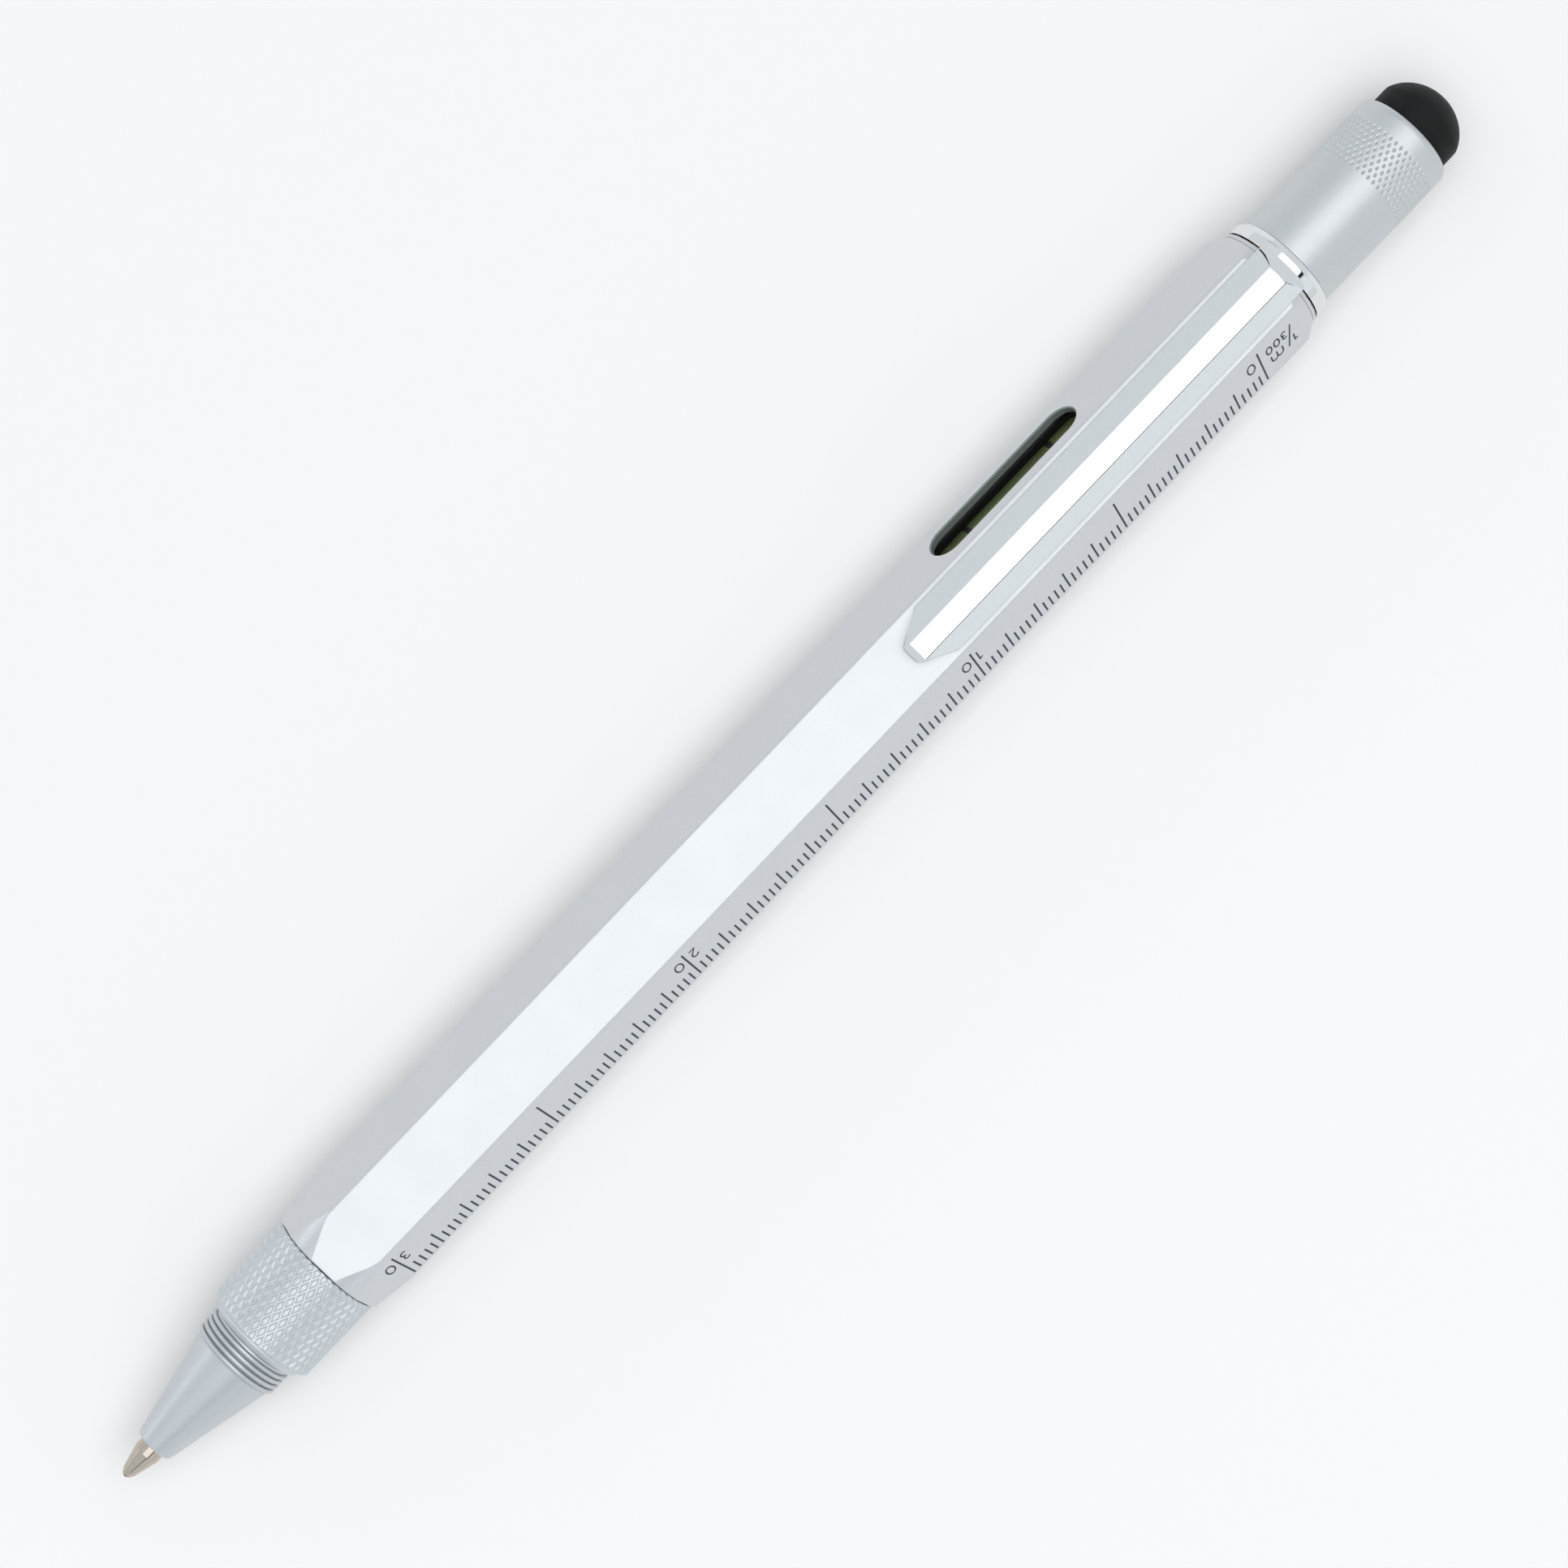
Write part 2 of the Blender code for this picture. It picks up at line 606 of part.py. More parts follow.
def build_guide(body):
    end_x = PIN_X + CAM_TRAVEL + SLOT_RADIUS + CAM_END_MARGIN + SEAT_GAP
    start_x = end_x - GUIDE_LENGTH
    guide = tube("guide_sleeve", start_x, GUIDE_LENGTH, CAM_OUTER_RADIUS + RUNNING_GAP, INSERT_RADIUS,
                 INNER_SIDES, body)
    slot_length = CAM_TRAVEL + 2 * SLOT_RADIUS
    slot_middle = PIN_X + CAM_TRAVEL / 2
    outline = stadium(slot_length, 2 * SLOT_RADIUS, 7)
    slot = plate("guide_slot", outline, INSERT_RADIUS + OVERRUN,
                 (slot_middle, 0, AXIS_Z + (INSERT_RADIUS + OVERRUN) / 2), (0, 0, 0))
    combine(guide, slot)
    finish(guide, DARK_PLASTIC)


def build_refill(refill):
    # The point: nozzle and cone in front, a tail that plugs the tube, a socket for the ball
    socket_radius = BALL_RADIUS + BALL_GAP
    lip_angle = math.degrees(math.acos(BALL_LIP_SHARE))
    channel_angle = math.degrees(math.asin(INK_CHANNEL_RADIUS / socket_radius))
    socket = arc((BALL_RADIUS, 0), (socket_radius, socket_radius), channel_angle, 180 - lip_angle, 6)
    lip_along, lip_radius = socket[-1]
    body_end = TIP_BODY_LENGTH
    tail_end = body_end + TIP_TAIL_LENGTH
    tail_radius = REFILL_RADIUS - REFILL_WALL - FIXED_GAP
    profile = [
        (lip_along, lip_radius + TIP_LIP_WALL),
        (TIP_NOZZLE_LENGTH, TIP_NOZZLE_RADIUS),
        (TIP_CONE_LENGTH, TIP_RADIUS),
        (body_end, TIP_RADIUS),
        (body_end, tail_radius),
        (tail_end, tail_radius),
        (tail_end, INK_CHANNEL_RADIUS),
    ]
    tip = turned("refill_tip", POINT_X, profile + socket, SMALL_SIDES, refill)
    finish(tip, NICKEL_SILVER)
    half = arc((BALL_RADIUS, 0), (BALL_RADIUS, BALL_RADIUS), 180, 0, 7)
    half[0] = (0, 0)
    half[-1] = (2 * BALL_RADIUS, 0)
    finish(turned("writing_ball", POINT_X, half, SMALL_SIDES, refill), CARBIDE)
    tube_x = POINT_X + body_end + SEAT_GAP
    refill_tube = tube("refill_tube", tube_x, REFILL_REAR_X - tube_x, REFILL_RADIUS - REFILL_WALL,
                       REFILL_RADIUS, SMALL_SIDES, refill)
    finish(refill_tube, BRASS)
    ink_x = POINT_X + tail_end + SEAT_GAP
    ink_length = REFILL_REAR_X - INK_FREE_LENGTH - ink_x
    finish(rod("refill_ink", ink_x, ink_length, tail_radius, SMALL_SIDES, refill), INK)


def build_carrier(refill):
    start_x = REFILL_REAR_X - CARRIER_GRIP_LENGTH
    socket = REFILL_RADIUS + FIXED_GAP
    depth = CARRIER_GRIP_LENGTH + SEAT_GAP
    radius = CAM_BORE_RADIUS - RUNNING_GAP
    carrier = turned("refill_carrier", start_x, [
        (0, socket),
        (0, radius),
        (CARRIER_LENGTH, radius),
        (CARRIER_LENGTH, 0),
        (depth, 0),
        (depth, socket),
    ], INNER_SIDES, refill)
    finish(carrier, DARK_PLASTIC)
    hole = radial_rod("carrier_pin_hole", PIN_X, -PIN_DEPTH - SEAT_GAP, CAM_OUTER_RADIUS,
                      PIN_RADIUS + FIXED_GAP, SMALL_SIDES)
    combine(carrier, hole)
    pin = radial_rod("carrier_pin", PIN_X, -PIN_DEPTH, PIN_REACH, PIN_RADIUS, SMALL_SIDES, refill)
    finish(pin, SPRING_STEEL)


def build_level(body):
    # Black liner in the barrel, the vial in it, and the liquid with its bubble on top
    liner_length = VIAL_LENGTH + 2 * (LINER_END_WALL + LINER_GAP)
    liner_x = WINDOW_X - liner_length / 2
    vial_x = WINDOW_X - VIAL_LENGTH / 2
    liner_bore = VIAL_RADIUS + FIXED_GAP
    liner = turned("vial_carrier", liner_x, [
        (0, LINER_END_HOLE_RADIUS),
        (0, INSERT_RADIUS),
        (liner_length, INSERT_RADIUS),
        (liner_length, liner_bore),
        (LINER_END_WALL, liner_bore),
        (LINER_END_WALL, LINER_END_HOLE_RADIUS),
    ], VIAL_SIDES, body)
    slot = window_slot("liner_window")
    combine(liner, slot)
    finish(liner, BLACK_PLASTIC)
    vial = turned("level_vial", vial_x, [
        (0, 0),
        (0, VIAL_RADIUS),
        (VIAL_LENGTH, VIAL_RADIUS),
        (VIAL_LENGTH, CAVITY_RADIUS),
        (VIAL_END_WALL, CAVITY_RADIUS),
        (VIAL_END_WALL, 0),
    ], VIAL_SIDES, body)
    finish(vial, CLEAR_ACRYLIC)
    plug_x = vial_x + VIAL_LENGTH - VIAL_PLUG_LENGTH
    plug_radius = CAVITY_RADIUS - FIXED_GAP
    finish(rod("vial_plug", plug_x, VIAL_PLUG_LENGTH, plug_radius, VIAL_SIDES, body), BLACK_PLASTIC)
    liquid_x = vial_x + VIAL_END_WALL + SEAT_GAP
    liquid_length = plug_x - SEAT_GAP - liquid_x
    liquid = rod("vial_liquid", liquid_x, liquid_length, plug_radius, VIAL_SIDES, body)
    combine(liquid, build_bubble(plug_radius))
    finish(liquid, GREEN_LIQUID)


def build_bubble(liquid_radius):
    mesh = bpy.data.meshes.new("bubble")
    shape = bmesh.new()
    bmesh.ops.create_uvsphere(shape, u_segments=20, v_segments=10, radius=1)
    bmesh.ops.scale(shape, verts=shape.verts, vec=(BUBBLE_LENGTH / 2, BUBBLE_WIDTH / 2, BUBBLE_DEPTH))
    shape.to_mesh(mesh)
    shape.free()
    return add_object("bubble", mesh, (WINDOW_X, 0, AXIS_Z + liquid_radius), (0, 0, 0), None)


def build_clip_ring(body):
    ring = turned("clip_ring", RING_X, [
        (0, SPIGOT_RADIUS + FIXED_GAP),
        (0, RING_RADIUS),
        (RING_LENGTH - RING_BEVEL_LENGTH, RING_RADIUS),
        (RING_LENGTH, RING_REAR_RADIUS),
        (RING_LENGTH, SPIGOT_RADIUS + FIXED_GAP),
    ], OUTER_SIDES, body)
    finish(ring, CHROME)


def clip_plan(length):
    # The clip from above: a narrow end that widens in a curve, and a foot with rounded corners
    half = CLIP_WIDTH / 2
    end_half = CLIP_END_WIDTH / 2
    control = (CLIP_ROUNDING_LENGTH * CLIP_END_CURVE_SHARES[0], half * CLIP_END_CURVE_SHARES[1])
    side = []
    for index in range(9):
        share = index / 8
        along = 2 * share * (1 - share) * control[0] + share ** 2 * CLIP_ROUNDING_LENGTH
        across = (1 - share) ** 2 * end_half + 2 * share * (1 - share) * control[1] + share ** 2 * half
        side.append((along, across))
    corner = (length - CLIP_FOOT_CORNER, half - CLIP_FOOT_CORNER)
    side += arc(corner, (CLIP_FOOT_CORNER, CLIP_FOOT_CORNER), 90, 0, 4)
    return side + [(along, -across) for along, across in reversed(side)]


def clip_side(length, foot_start, low, top, under, bead_low):
    # The clip from the side: bevelled end, a bead under it, a straight arm and the foot behind
    bead = arc((CLIP_BEAD_FROM_END, under), (CLIP_BEAD_LENGTH / 2, under - bead_low), 360, 180, 9)
    outline = [
        (-OVERRUN, under),
        (-OVERRUN, top - CLIP_END_BEVEL - OVERRUN),
        (CLIP_END_BEVEL + OVERRUN, top + OVERRUN),
        (length + OVERRUN, top + OVERRUN),
        (length + OVERRUN, low),
        (foot_start, low),
        (foot_start, under),
    ]
    return outline + bead


def clip_section(top, facet, low):
    # The clip from its end: a flat ridge with a sloping facet on each side
    flat = CLIP_FLAT_WIDTH / 2
    half = CLIP_WIDTH / 2
    return [(-flat, top), (-half, facet), (-half, low), (half, low), (half, facet), (flat, top)]


def build_clip(clip):
    top = ACROSS_FLATS / 2 + CLIP_RISE
    facet = top - CLIP_FACET_DROP
    under = ACROSS_FLATS / 2 + CLIP_AIR
    low = RING_REAR_RADIUS - CLIP_RISE
    foot_end_x = RING_X + CLIP_FOOT_LENGTH
    start_x = foot_end_x - CLIP_LENGTH
    bead_low = ACROSS_FLATS / 2 + SEAT_GAP
    place = (start_x, 0, AXIS_Z)
    arm = plate("clip_arm", clip_side(CLIP_LENGTH, RING_X - start_x, low, top, under, bead_low),
                2 * CLIP_WIDTH, place, (math.radians(90), 0, 0), clip)
    middle_x = start_x + CLIP_LENGTH / 2
    section = plate("clip_section", clip_section(top, facet, low - OVERRUN), CLIP_LENGTH + 4 * OVERRUN,
                    (middle_x, 0, AXIS_Z), (math.radians(90), 0, math.radians(90)))
    plan = plate("clip_plan", clip_plan(CLIP_LENGTH), 2 * ACROSS_FLATS, place, (0, 0, 0))
    ridge = math.hypot(top, CLIP_FLAT_WIDTH / 2)
    shoulder_start = CLIP_LENGTH - CLIP_SHOULDER_LENGTH
    rise = ridge - RING_RADIUS
    shoulder = [(-2 * OVERRUN, 0), (-2 * OVERRUN, ridge + OVERRUN), (shoulder_start, ridge + OVERRUN)]
    for length_share, rise_share in CLIP_SHOULDER_SHARES:
        along = shoulder_start + length_share * CLIP_SHOULDER_LENGTH
        shoulder.append((along, RING_RADIUS + rise_share * rise))
    shoulder += [(CLIP_LENGTH + 2 * OVERRUN, RING_RADIUS), (CLIP_LENGTH + 2 * OVERRUN, 0)]
    envelope = turned("clip_shoulder", start_x, shoulder, 2 * OUTER_SIDES)
    seat = rod("clip_seat", RING_X - 2 * SEAT_GAP, RING_LENGTH, RING_RADIUS + SEAT_GAP, 2 * OUTER_SIDES)
    combine(arm, section, "INTERSECT")
    combine(arm, plan, "INTERSECT")
    combine(arm, envelope, "INTERSECT")
    combine(arm, seat)
    finish(arm, CHROME)


def build_holder(body):
    # Rear plug of the barrel: magnet pocket, room for the bit's end, hexagonal socket, spigot
    spigot_end = HOLDER_DEPTH + SPIGOT_LENGTH
    socket_start = spigot_end - SOCKET_DEPTH
    tip_bore = BIT_TIP_RADIUS + 2 * RUNNING_GAP
    magnet_end = MAGNET_X - HOLDER_X + MAGNET_LENGTH + SEAT_GAP
    holder = turned("bit_holder", HOLDER_X, [
        (0, MAGNET_RADIUS + FIXED_GAP),
        (0, INSERT_RADIUS),
        (HOLDER_DEPTH, INSERT_RADIUS),
        (HOLDER_DEPTH, SPIGOT_RADIUS),
        (spigot_end - SPIGOT_CHAMFER, SPIGOT_RADIUS),
        (spigot_end, SPIGOT_RADIUS - SPIGOT_CHAMFER),
        (spigot_end, tip_bore),
        (magnet_end, tip_bore),
        (magnet_end, MAGNET_RADIUS + FIXED_GAP),
    ], INNER_SIDES, body)
    socket = hex_bar("bit_socket", HOLDER_X + socket_start, SOCKET_DEPTH + OVERRUN,
                     BIT_ACROSS_FLATS + 2 * SOCKET_GAP, BIT_CORNER_RADIUS, 1)
    combine(holder, socket)
    finish(holder, BRASS)
    finish(rod("bit_magnet", MAGNET_X, MAGNET_LENGTH, MAGNET_RADIUS, SMALL_SIDES, body), MAGNET)
    nut_bore = SPIGOT_RADIUS + FIXED_GAP
    nut = tube("ring_nut", CAP_X, NUT_LENGTH, nut_bore, NUT_RADIUS, INNER_SIDES, body)
    finish(nut, BRASS)


def build_bit(bit_axis):
    # Hexagonal middle, a round tip at each end, one ground to a blade and one to a cross point
    length = BIT_HEX_LENGTH + 2 * BIT_TIP_LENGTH
    bit = hex_bar("screwdriver_bit", BIT_X + BIT_TIP_LENGTH, BIT_HEX_LENGTH, BIT_ACROSS_FLATS,
                  BIT_CORNER_RADIUS, 1, bit_axis)
    corner = BIT_ACROSS_FLATS / math.sqrt(3)
    hex_end = BIT_HEX_LENGTH
    chamfer = turned("bit_chamfer", BIT_X + BIT_TIP_LENGTH - OVERRUN, [
        (0, 0),
        (0, corner - BIT_CHAMFER - OVERRUN),
        (2 * OVERRUN + BIT_CHAMFER, corner + OVERRUN),
        (hex_end - BIT_CHAMFER, corner + OVERRUN),
        (hex_end + 2 * OVERRUN, corner - BIT_CHAMFER - OVERRUN),
        (hex_end + 2 * OVERRUN, 0),
    ], INNER_SIDES)
    tips = turned("bit_tips", BIT_X, [
        (0, 0),
        (0, BIT_TIP_RADIUS),
        (length - CROSS_POINT_LENGTH, BIT_TIP_RADIUS),
        (length, CROSS_POINT_RADIUS),
        (length, 0),
    ], SMALL_SIDES)
    combine(bit, chamfer, "INTERSECT")
    combine(bit, tips, "UNION")
    slope = math.atan2(BIT_TIP_RADIUS - BLADE_THICKNESS / 2, BLADE_LENGTH)
    reach = BLADE_LENGTH + BIT_TIP_LENGTH
    for side in (-1, 1):
        # A block whose inner face rises from the blade's edge to the round tip
        lift = BLADE_THICKNESS / 2 + BIT_TIP_RADIUS / math.cos(slope)
        place = (BIT_X, 0, AXIS_Z + side * lift)
        block = box("blade_cut", (reach, reach, 2 * BIT_TIP_RADIUS), place, (0, -side * slope, 0))
        combine(bit, block)
    flute_slope = math.atan2(BIT_TIP_RADIUS - FLUTE_ROOT_RADIUS, FLUTE_LENGTH)
    side_length = 2 * BIT_TIP_RADIUS
    for quarter in range(4):
        # A square bar, corner inwards, whose corner line sinks towards the cross point
        turn = math.radians(45 + 90 * quarter)
        bar = box("flute_cut", (2 * FLUTE_LENGTH, side_length, side_length), (0, 0, 0))
        up = FLUTE_ROOT_RADIUS + side_length / math.sqrt(2) / math.cos(flute_slope)
        square = Matrix.Rotation(math.radians(45), 4, "X")
        dip = Matrix.Rotation(flute_slope, 4, "Y")
        lift = Matrix.Translation((0, 0, up))
        around = Matrix.Rotation(turn, 4, "X")
        bar.matrix_world = Matrix.Translation((BIT_X + length, 0, AXIS_Z)) @ around @ lift @ dip @ square
        combine(bit, bar)
    finish(bit, BLACK_STEEL)


def build_cap(cap):
    end_start = CAP_LENGTH - CAP_END_ROUNDING
    rounding = arc((end_start, CAP_END_RADIUS), (CAP_END_ROUNDING, CAP_RADIUS - CAP_END_RADIUS), 90, 0, 4)
    wall_start = CAP_LENGTH - CAP_END_WALL
    counterbore = NUT_RADIUS + RUNNING_GAP
    thread_bore = SPIGOT_RADIUS + RUNNING_GAP
    profile = [(0, counterbore), (0, CAP_RADIUS)] + rounding
    profile += [
        (CAP_LENGTH, CORE_STEM_RADIUS + FIXED_GAP),
        (wall_start, CORE_STEM_RADIUS + FIXED_GAP),
        (wall_start, CAP_BIT_BORE_RADIUS),
        (CAP_THREAD_LENGTH, CAP_BIT_BORE_RADIUS),
        (CAP_THREAD_LENGTH, thread_bore),
        (CAP_COUNTERBORE_LENGTH, thread_bore),
        (CAP_COUNTERBORE_LENGTH, counterbore),
    ]
    finish(turned("stylus_cap", CAP_X, profile, OUTER_SIDES, cap), SATIN_ALUMINIUM)


def build_stylus(cap):
    # A hollow rubber dome whose inward flange the core's head holds against the cap
    dome_height = DOME_LENGTH - DOME_RIM_LENGTH
    outside = arc((DOME_RIM_LENGTH, 0), (dome_height, DOME_RADIUS), 90, 0, 9)
    outside[-1] = (DOME_LENGTH, 0)
    hollow_radius = DOME_RADIUS - DOME_WALL
    inside = arc((DOME_FLANGE, 0), (DOME_LENGTH - DOME_WALL - DOME_FLANGE, hollow_radius), 0, 90, 7)
    inside[0] = (DOME_LENGTH - DOME_WALL, 0)
    flange_bore = CORE_STEM_RADIUS + FIXED_GAP
    profile = [(DOME_FLANGE, flange_bore), (0, flange_bore), (0, DOME_RADIUS)] + outside + inside
    dome = turned("stylus_tip", DOME_X, profile, DOME_SIDES, cap)
    finish(dome, RUBBER)
    core_length = CAP_END_WALL + SEAT_GAP
    flange_end = core_length + DOME_FLANGE + SEAT_GAP
    head_end = flange_end + CORE_HEAD_LENGTH
    core = turned("stylus_core", CAP_X + CAP_LENGTH - CAP_END_WALL, [
        (0, 0),
        (0, CORE_STEM_RADIUS),
        (flange_end, CORE_STEM_RADIUS),
        (flange_end, CORE_HEAD_RADIUS),
        (head_end, CORE_HEAD_RADIUS),
        (head_end, 0),
    ], INNER_SIDES, cap)
    finish(core, SATIN_ALUMINIUM)


clear_scene()
PEN = new_collection("multi_tool_pen")
CUTTERS = new_collection("cutters")

SILVER_PAINT = material("silver_paint", (0.60, 0.63, 0.65), 0.38, 0.6)
SATIN_STEEL = material("satin_steel", (0.55, 0.59, 0.63), 0.32, 0.9)
SATIN_ALUMINIUM = material("satin_aluminium", (0.66, 0.69, 0.71), 0.28, 0.9)
CHROME = material("chrome", (0.82, 0.84, 0.86), 0.05, 1.0)
NICKEL_SILVER = material("nickel_silver", (0.62, 0.56, 0.47), 0.25, 1.0)
BRASS = material("brass", (0.72, 0.53, 0.24), 0.3, 1.0)
SPRING_STEEL = material("spring_steel", (0.5, 0.5, 0.52), 0.3, 1.0)
BLACK_STEEL = material("black_steel", (0.08, 0.08, 0.09), 0.35, 0.8)
CARBIDE = material("carbide", (0.35, 0.35, 0.36), 0.15, 1.0)
MAGNET = material("magnet", (0.45, 0.45, 0.47), 0.3, 1.0)
RUBBER = material("rubber", (0.012, 0.012, 0.013), 0.55, 0.0)
BLACK_PLASTIC = material("black_plastic", (0.01, 0.01, 0.01), 0.4, 0.0)
DARK_PLASTIC = material("dark_plastic", (0.06, 0.06, 0.07), 0.45, 0.0)
CLEAR_ACRYLIC = material("clear_acrylic", (0.75, 0.85, 0.72), 0.05, 0.0)
GREEN_LIQUID = material("green_liquid", (0.35, 0.62, 0.08), 0.05, 0.0)
INK = material("ink", (0.01, 0.01, 0.03), 0.3, 0.0)

# The bit's front end stands just behind the magnet
BIT_X = SPIGOT_END_X - SOCKET_DEPTH + BIT_CHAMFER - BIT_TIP_LENGTH
MAGNET_X = BIT_X - 2 * SEAT_GAP - MAGNET_LENGTH

body_axis = pivot("body_axis", (0, 0, AXIS_Z))
grip_axis = pivot("grip_axis", (BARREL_X, 0, AXIS_Z))
refill_axis = pivot("refill_axis", (PIN_X, 0, AXIS_Z))
cap_axis = pivot("cap_axis", (CAP_X, 0, AXIS_Z))
bit_axis = pivot("bit_axis", (BIT_X, 0, AXIS_Z))
clip_pivot = pivot("clip_pivot", (RING_X, 0, AXIS_Z + RING_RADIUS))

build_barrel(body_axis)
build_bush(body_axis)
build_guide(body_axis)
build_level(body_axis)
build_clip_ring(body_axis)
build_holder(body_axis)
build_grip(grip_axis)
build_spindle(grip_axis)
build_nose(grip_axis)
build_cam(grip_axis)
build_refill(refill_axis)
build_carrier(refill_axis)
build_clip(clip_pivot)
build_cap(cap_axis)
build_stylus(cap_axis)
build_bit(bit_axis)
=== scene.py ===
import math
from types import SimpleNamespace

import bmesh
import bpy
import numpy as np
from mathutils import Matrix, Vector


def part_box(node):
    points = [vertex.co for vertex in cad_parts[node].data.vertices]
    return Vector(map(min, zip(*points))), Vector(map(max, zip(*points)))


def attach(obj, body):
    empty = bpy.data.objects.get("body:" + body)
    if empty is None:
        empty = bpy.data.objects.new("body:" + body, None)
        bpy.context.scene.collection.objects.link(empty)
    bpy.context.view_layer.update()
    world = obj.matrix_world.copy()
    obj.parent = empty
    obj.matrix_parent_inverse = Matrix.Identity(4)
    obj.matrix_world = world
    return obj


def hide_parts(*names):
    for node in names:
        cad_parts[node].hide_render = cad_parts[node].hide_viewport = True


# Multi tool pen lying with its clip up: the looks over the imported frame. Everything is in metres, the
# pen lies along X with its point towards -X, and an angle round it counts from straight up towards
# the window's side.
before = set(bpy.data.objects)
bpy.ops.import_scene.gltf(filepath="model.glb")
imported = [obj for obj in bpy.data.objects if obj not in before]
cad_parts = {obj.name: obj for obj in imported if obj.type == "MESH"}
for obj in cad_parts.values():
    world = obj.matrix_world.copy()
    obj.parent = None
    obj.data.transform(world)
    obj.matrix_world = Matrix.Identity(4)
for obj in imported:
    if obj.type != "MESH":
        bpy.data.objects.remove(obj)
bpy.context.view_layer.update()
scene = bpy.context.scene
scene.view_settings.view_transform = "Standard"
axisHeight = 0.005    # the pen's axis above the surface it lies on
fullTurn = 2 * math.pi
sixth = math.pi / 3
micrometre = 0.000001
nearlyStraight = -0.94    # a corner whose two sides have a lower cosine isn't softened
noiseRange = (0.3, 0.7)    # most of a noise's values lie in here
clearDark = 0.8    # a clear material's darkest shade, as a share of its colour


# Grids and meshes

def gridFaces(rows, columns, loopRows, loopColumns):
    # Corner numbers of the quads between neighbouring rows and columns of a grid of points
    rowIndex = np.arange(rows if loopRows else rows - 1)
    columnIndex = np.arange(columns if loopColumns else columns - 1)
    row, column = np.meshgrid(rowIndex, columnIndex, indexing="ij")
    nextRow = (row + 1) % rows
    nextColumn = (column + 1) % columns
    corners = [row * columns + column, nextRow * columns + column,
               nextRow * columns + nextColumn, row * columns + nextColumn]
    return np.stack(corners, axis=-1).reshape(-1, 4)


def crossedFaces(rows, columns):
    # Four triangles in each cell of a grid that closes both ways; a cell's middle point follows the grid's
    quads = gridFaces(rows, columns, True, True)
    middle = rows * columns + np.arange(len(quads))
    sides = [np.stack([quads[:, side], quads[:, (side + 1) % 4], middle], axis=-1) for side in range(4)]
    return np.concatenate(sides)


def arraysToMesh(name, points, faces):
    # A closed mesh of whole arrays of points and of corner numbers, with its equal points merged
    mesh = bpy.data.meshes.new(name)
    mesh.vertices.add(len(points))
    mesh.vertices.foreach_set("co", points.astype(np.float32).ravel())
    mesh.loops.add(faces.size)
    mesh.loops.foreach_set("vertex_index", faces.astype(np.int32).ravel())
    mesh.polygons.add(len(faces))
    mesh.polygons.foreach_set("loop_start", np.arange(0, faces.size, faces.shape[1], dtype=np.int32))
    mesh.update(calc_edges=True)
    weld(mesh)
    return mesh


def weld(mesh, distance=1e-7):
    # Merges equal points, drops what has no area and turns the faces outwards
    shape = bmesh.new()
    shape.from_mesh(mesh)
    bmesh.ops.remove_doubles(shape, verts=shape.verts, dist=distance)
    bmesh.ops.dissolve_degenerate(shape, edges=shape.edges, dist=distance)
    bmesh.ops.recalc_face_normals(shape, faces=shape.faces)
    shape.to_mesh(mesh)
    shape.free()


def addObject(name, data):
    # A new object in the scene
    made = bpy.data.objects.new(name, data)
    scene.collection.objects.link(made)
    return made


def addPiece(name, mesh, look, body, stands=(), crease=35):
    # The piece rides on its body and takes the place of the CAD nodes in `stands`; `crease` is the angle
    # in degrees from which an edge stays sharp
    mesh.materials.append(looks[look])
    mesh.shade_smooth()
    mesh.set_sharp_from_angle(angle=math.radians(crease))
    piece = addObject(name, mesh)
    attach(piece, body)
    if stands:
        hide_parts(*stands)
    return piece


def gridMesh(name, points, loopRows=True):
    # A grid of points whose columns close into a ring, as its rows do unless told otherwise
    return arraysToMesh(name, points.reshape(-1, 3), gridFaces(*points.shape[:2], loopRows, True))


def addGrid(name, points, look, body, stands=(), loopRows=True, crease=35):
    # A piece made of one grid of points
    return addPiece(name, gridMesh(name, points, loopRows), look, body, stands, crease)


def pairs(first, second):
    # An outline's points from two rows of values, or from a row and one value
    return np.stack(np.broadcast_arrays(first, second), axis=-1)


def arc(centre, reach, turn):
    # Points of an ellipse in the plane: centre + reach (cos t, sin t)
    return np.asarray(centre) + np.asarray(reach) * pairs(np.cos(turn), np.sin(turn))


def evenAngles(count):
    # Column n of a ring stands at n / count of a full turn
    return np.arange(count) * fullTurn / count


def withEnds(rows):
    # One more row at each end, all of it in the middle of the first or the last one, closes a tube
    middle = np.broadcast_to(rows.mean(axis=1, keepdims=True), rows.shape)
    return np.concatenate([middle[:1], rows, middle[-1:]])


def aroundAxis(along, radius, angle):
    # A row of points round the pen's axis for each place along it, with one radius or one for each angle
    # from straight up: y = r sin a, z = axis height + r cos a
    along, radius = (np.reshape(values, (len(values), -1)) for values in (along, radius))
    along, radius, angle = np.broadcast_arrays(along, radius, angle)
    return np.stack([along, radius * np.sin(angle), axisHeight + radius * np.cos(angle)], axis=-1)


def partWay(outline, side, length, sharp, distance, most):
    # A point on the side that leaves each sharp corner: `distance` away, or `most` of the side's length
    return outline + side * (np.where(sharp, np.minimum(distance, most * length), 0) / length)[:, None]


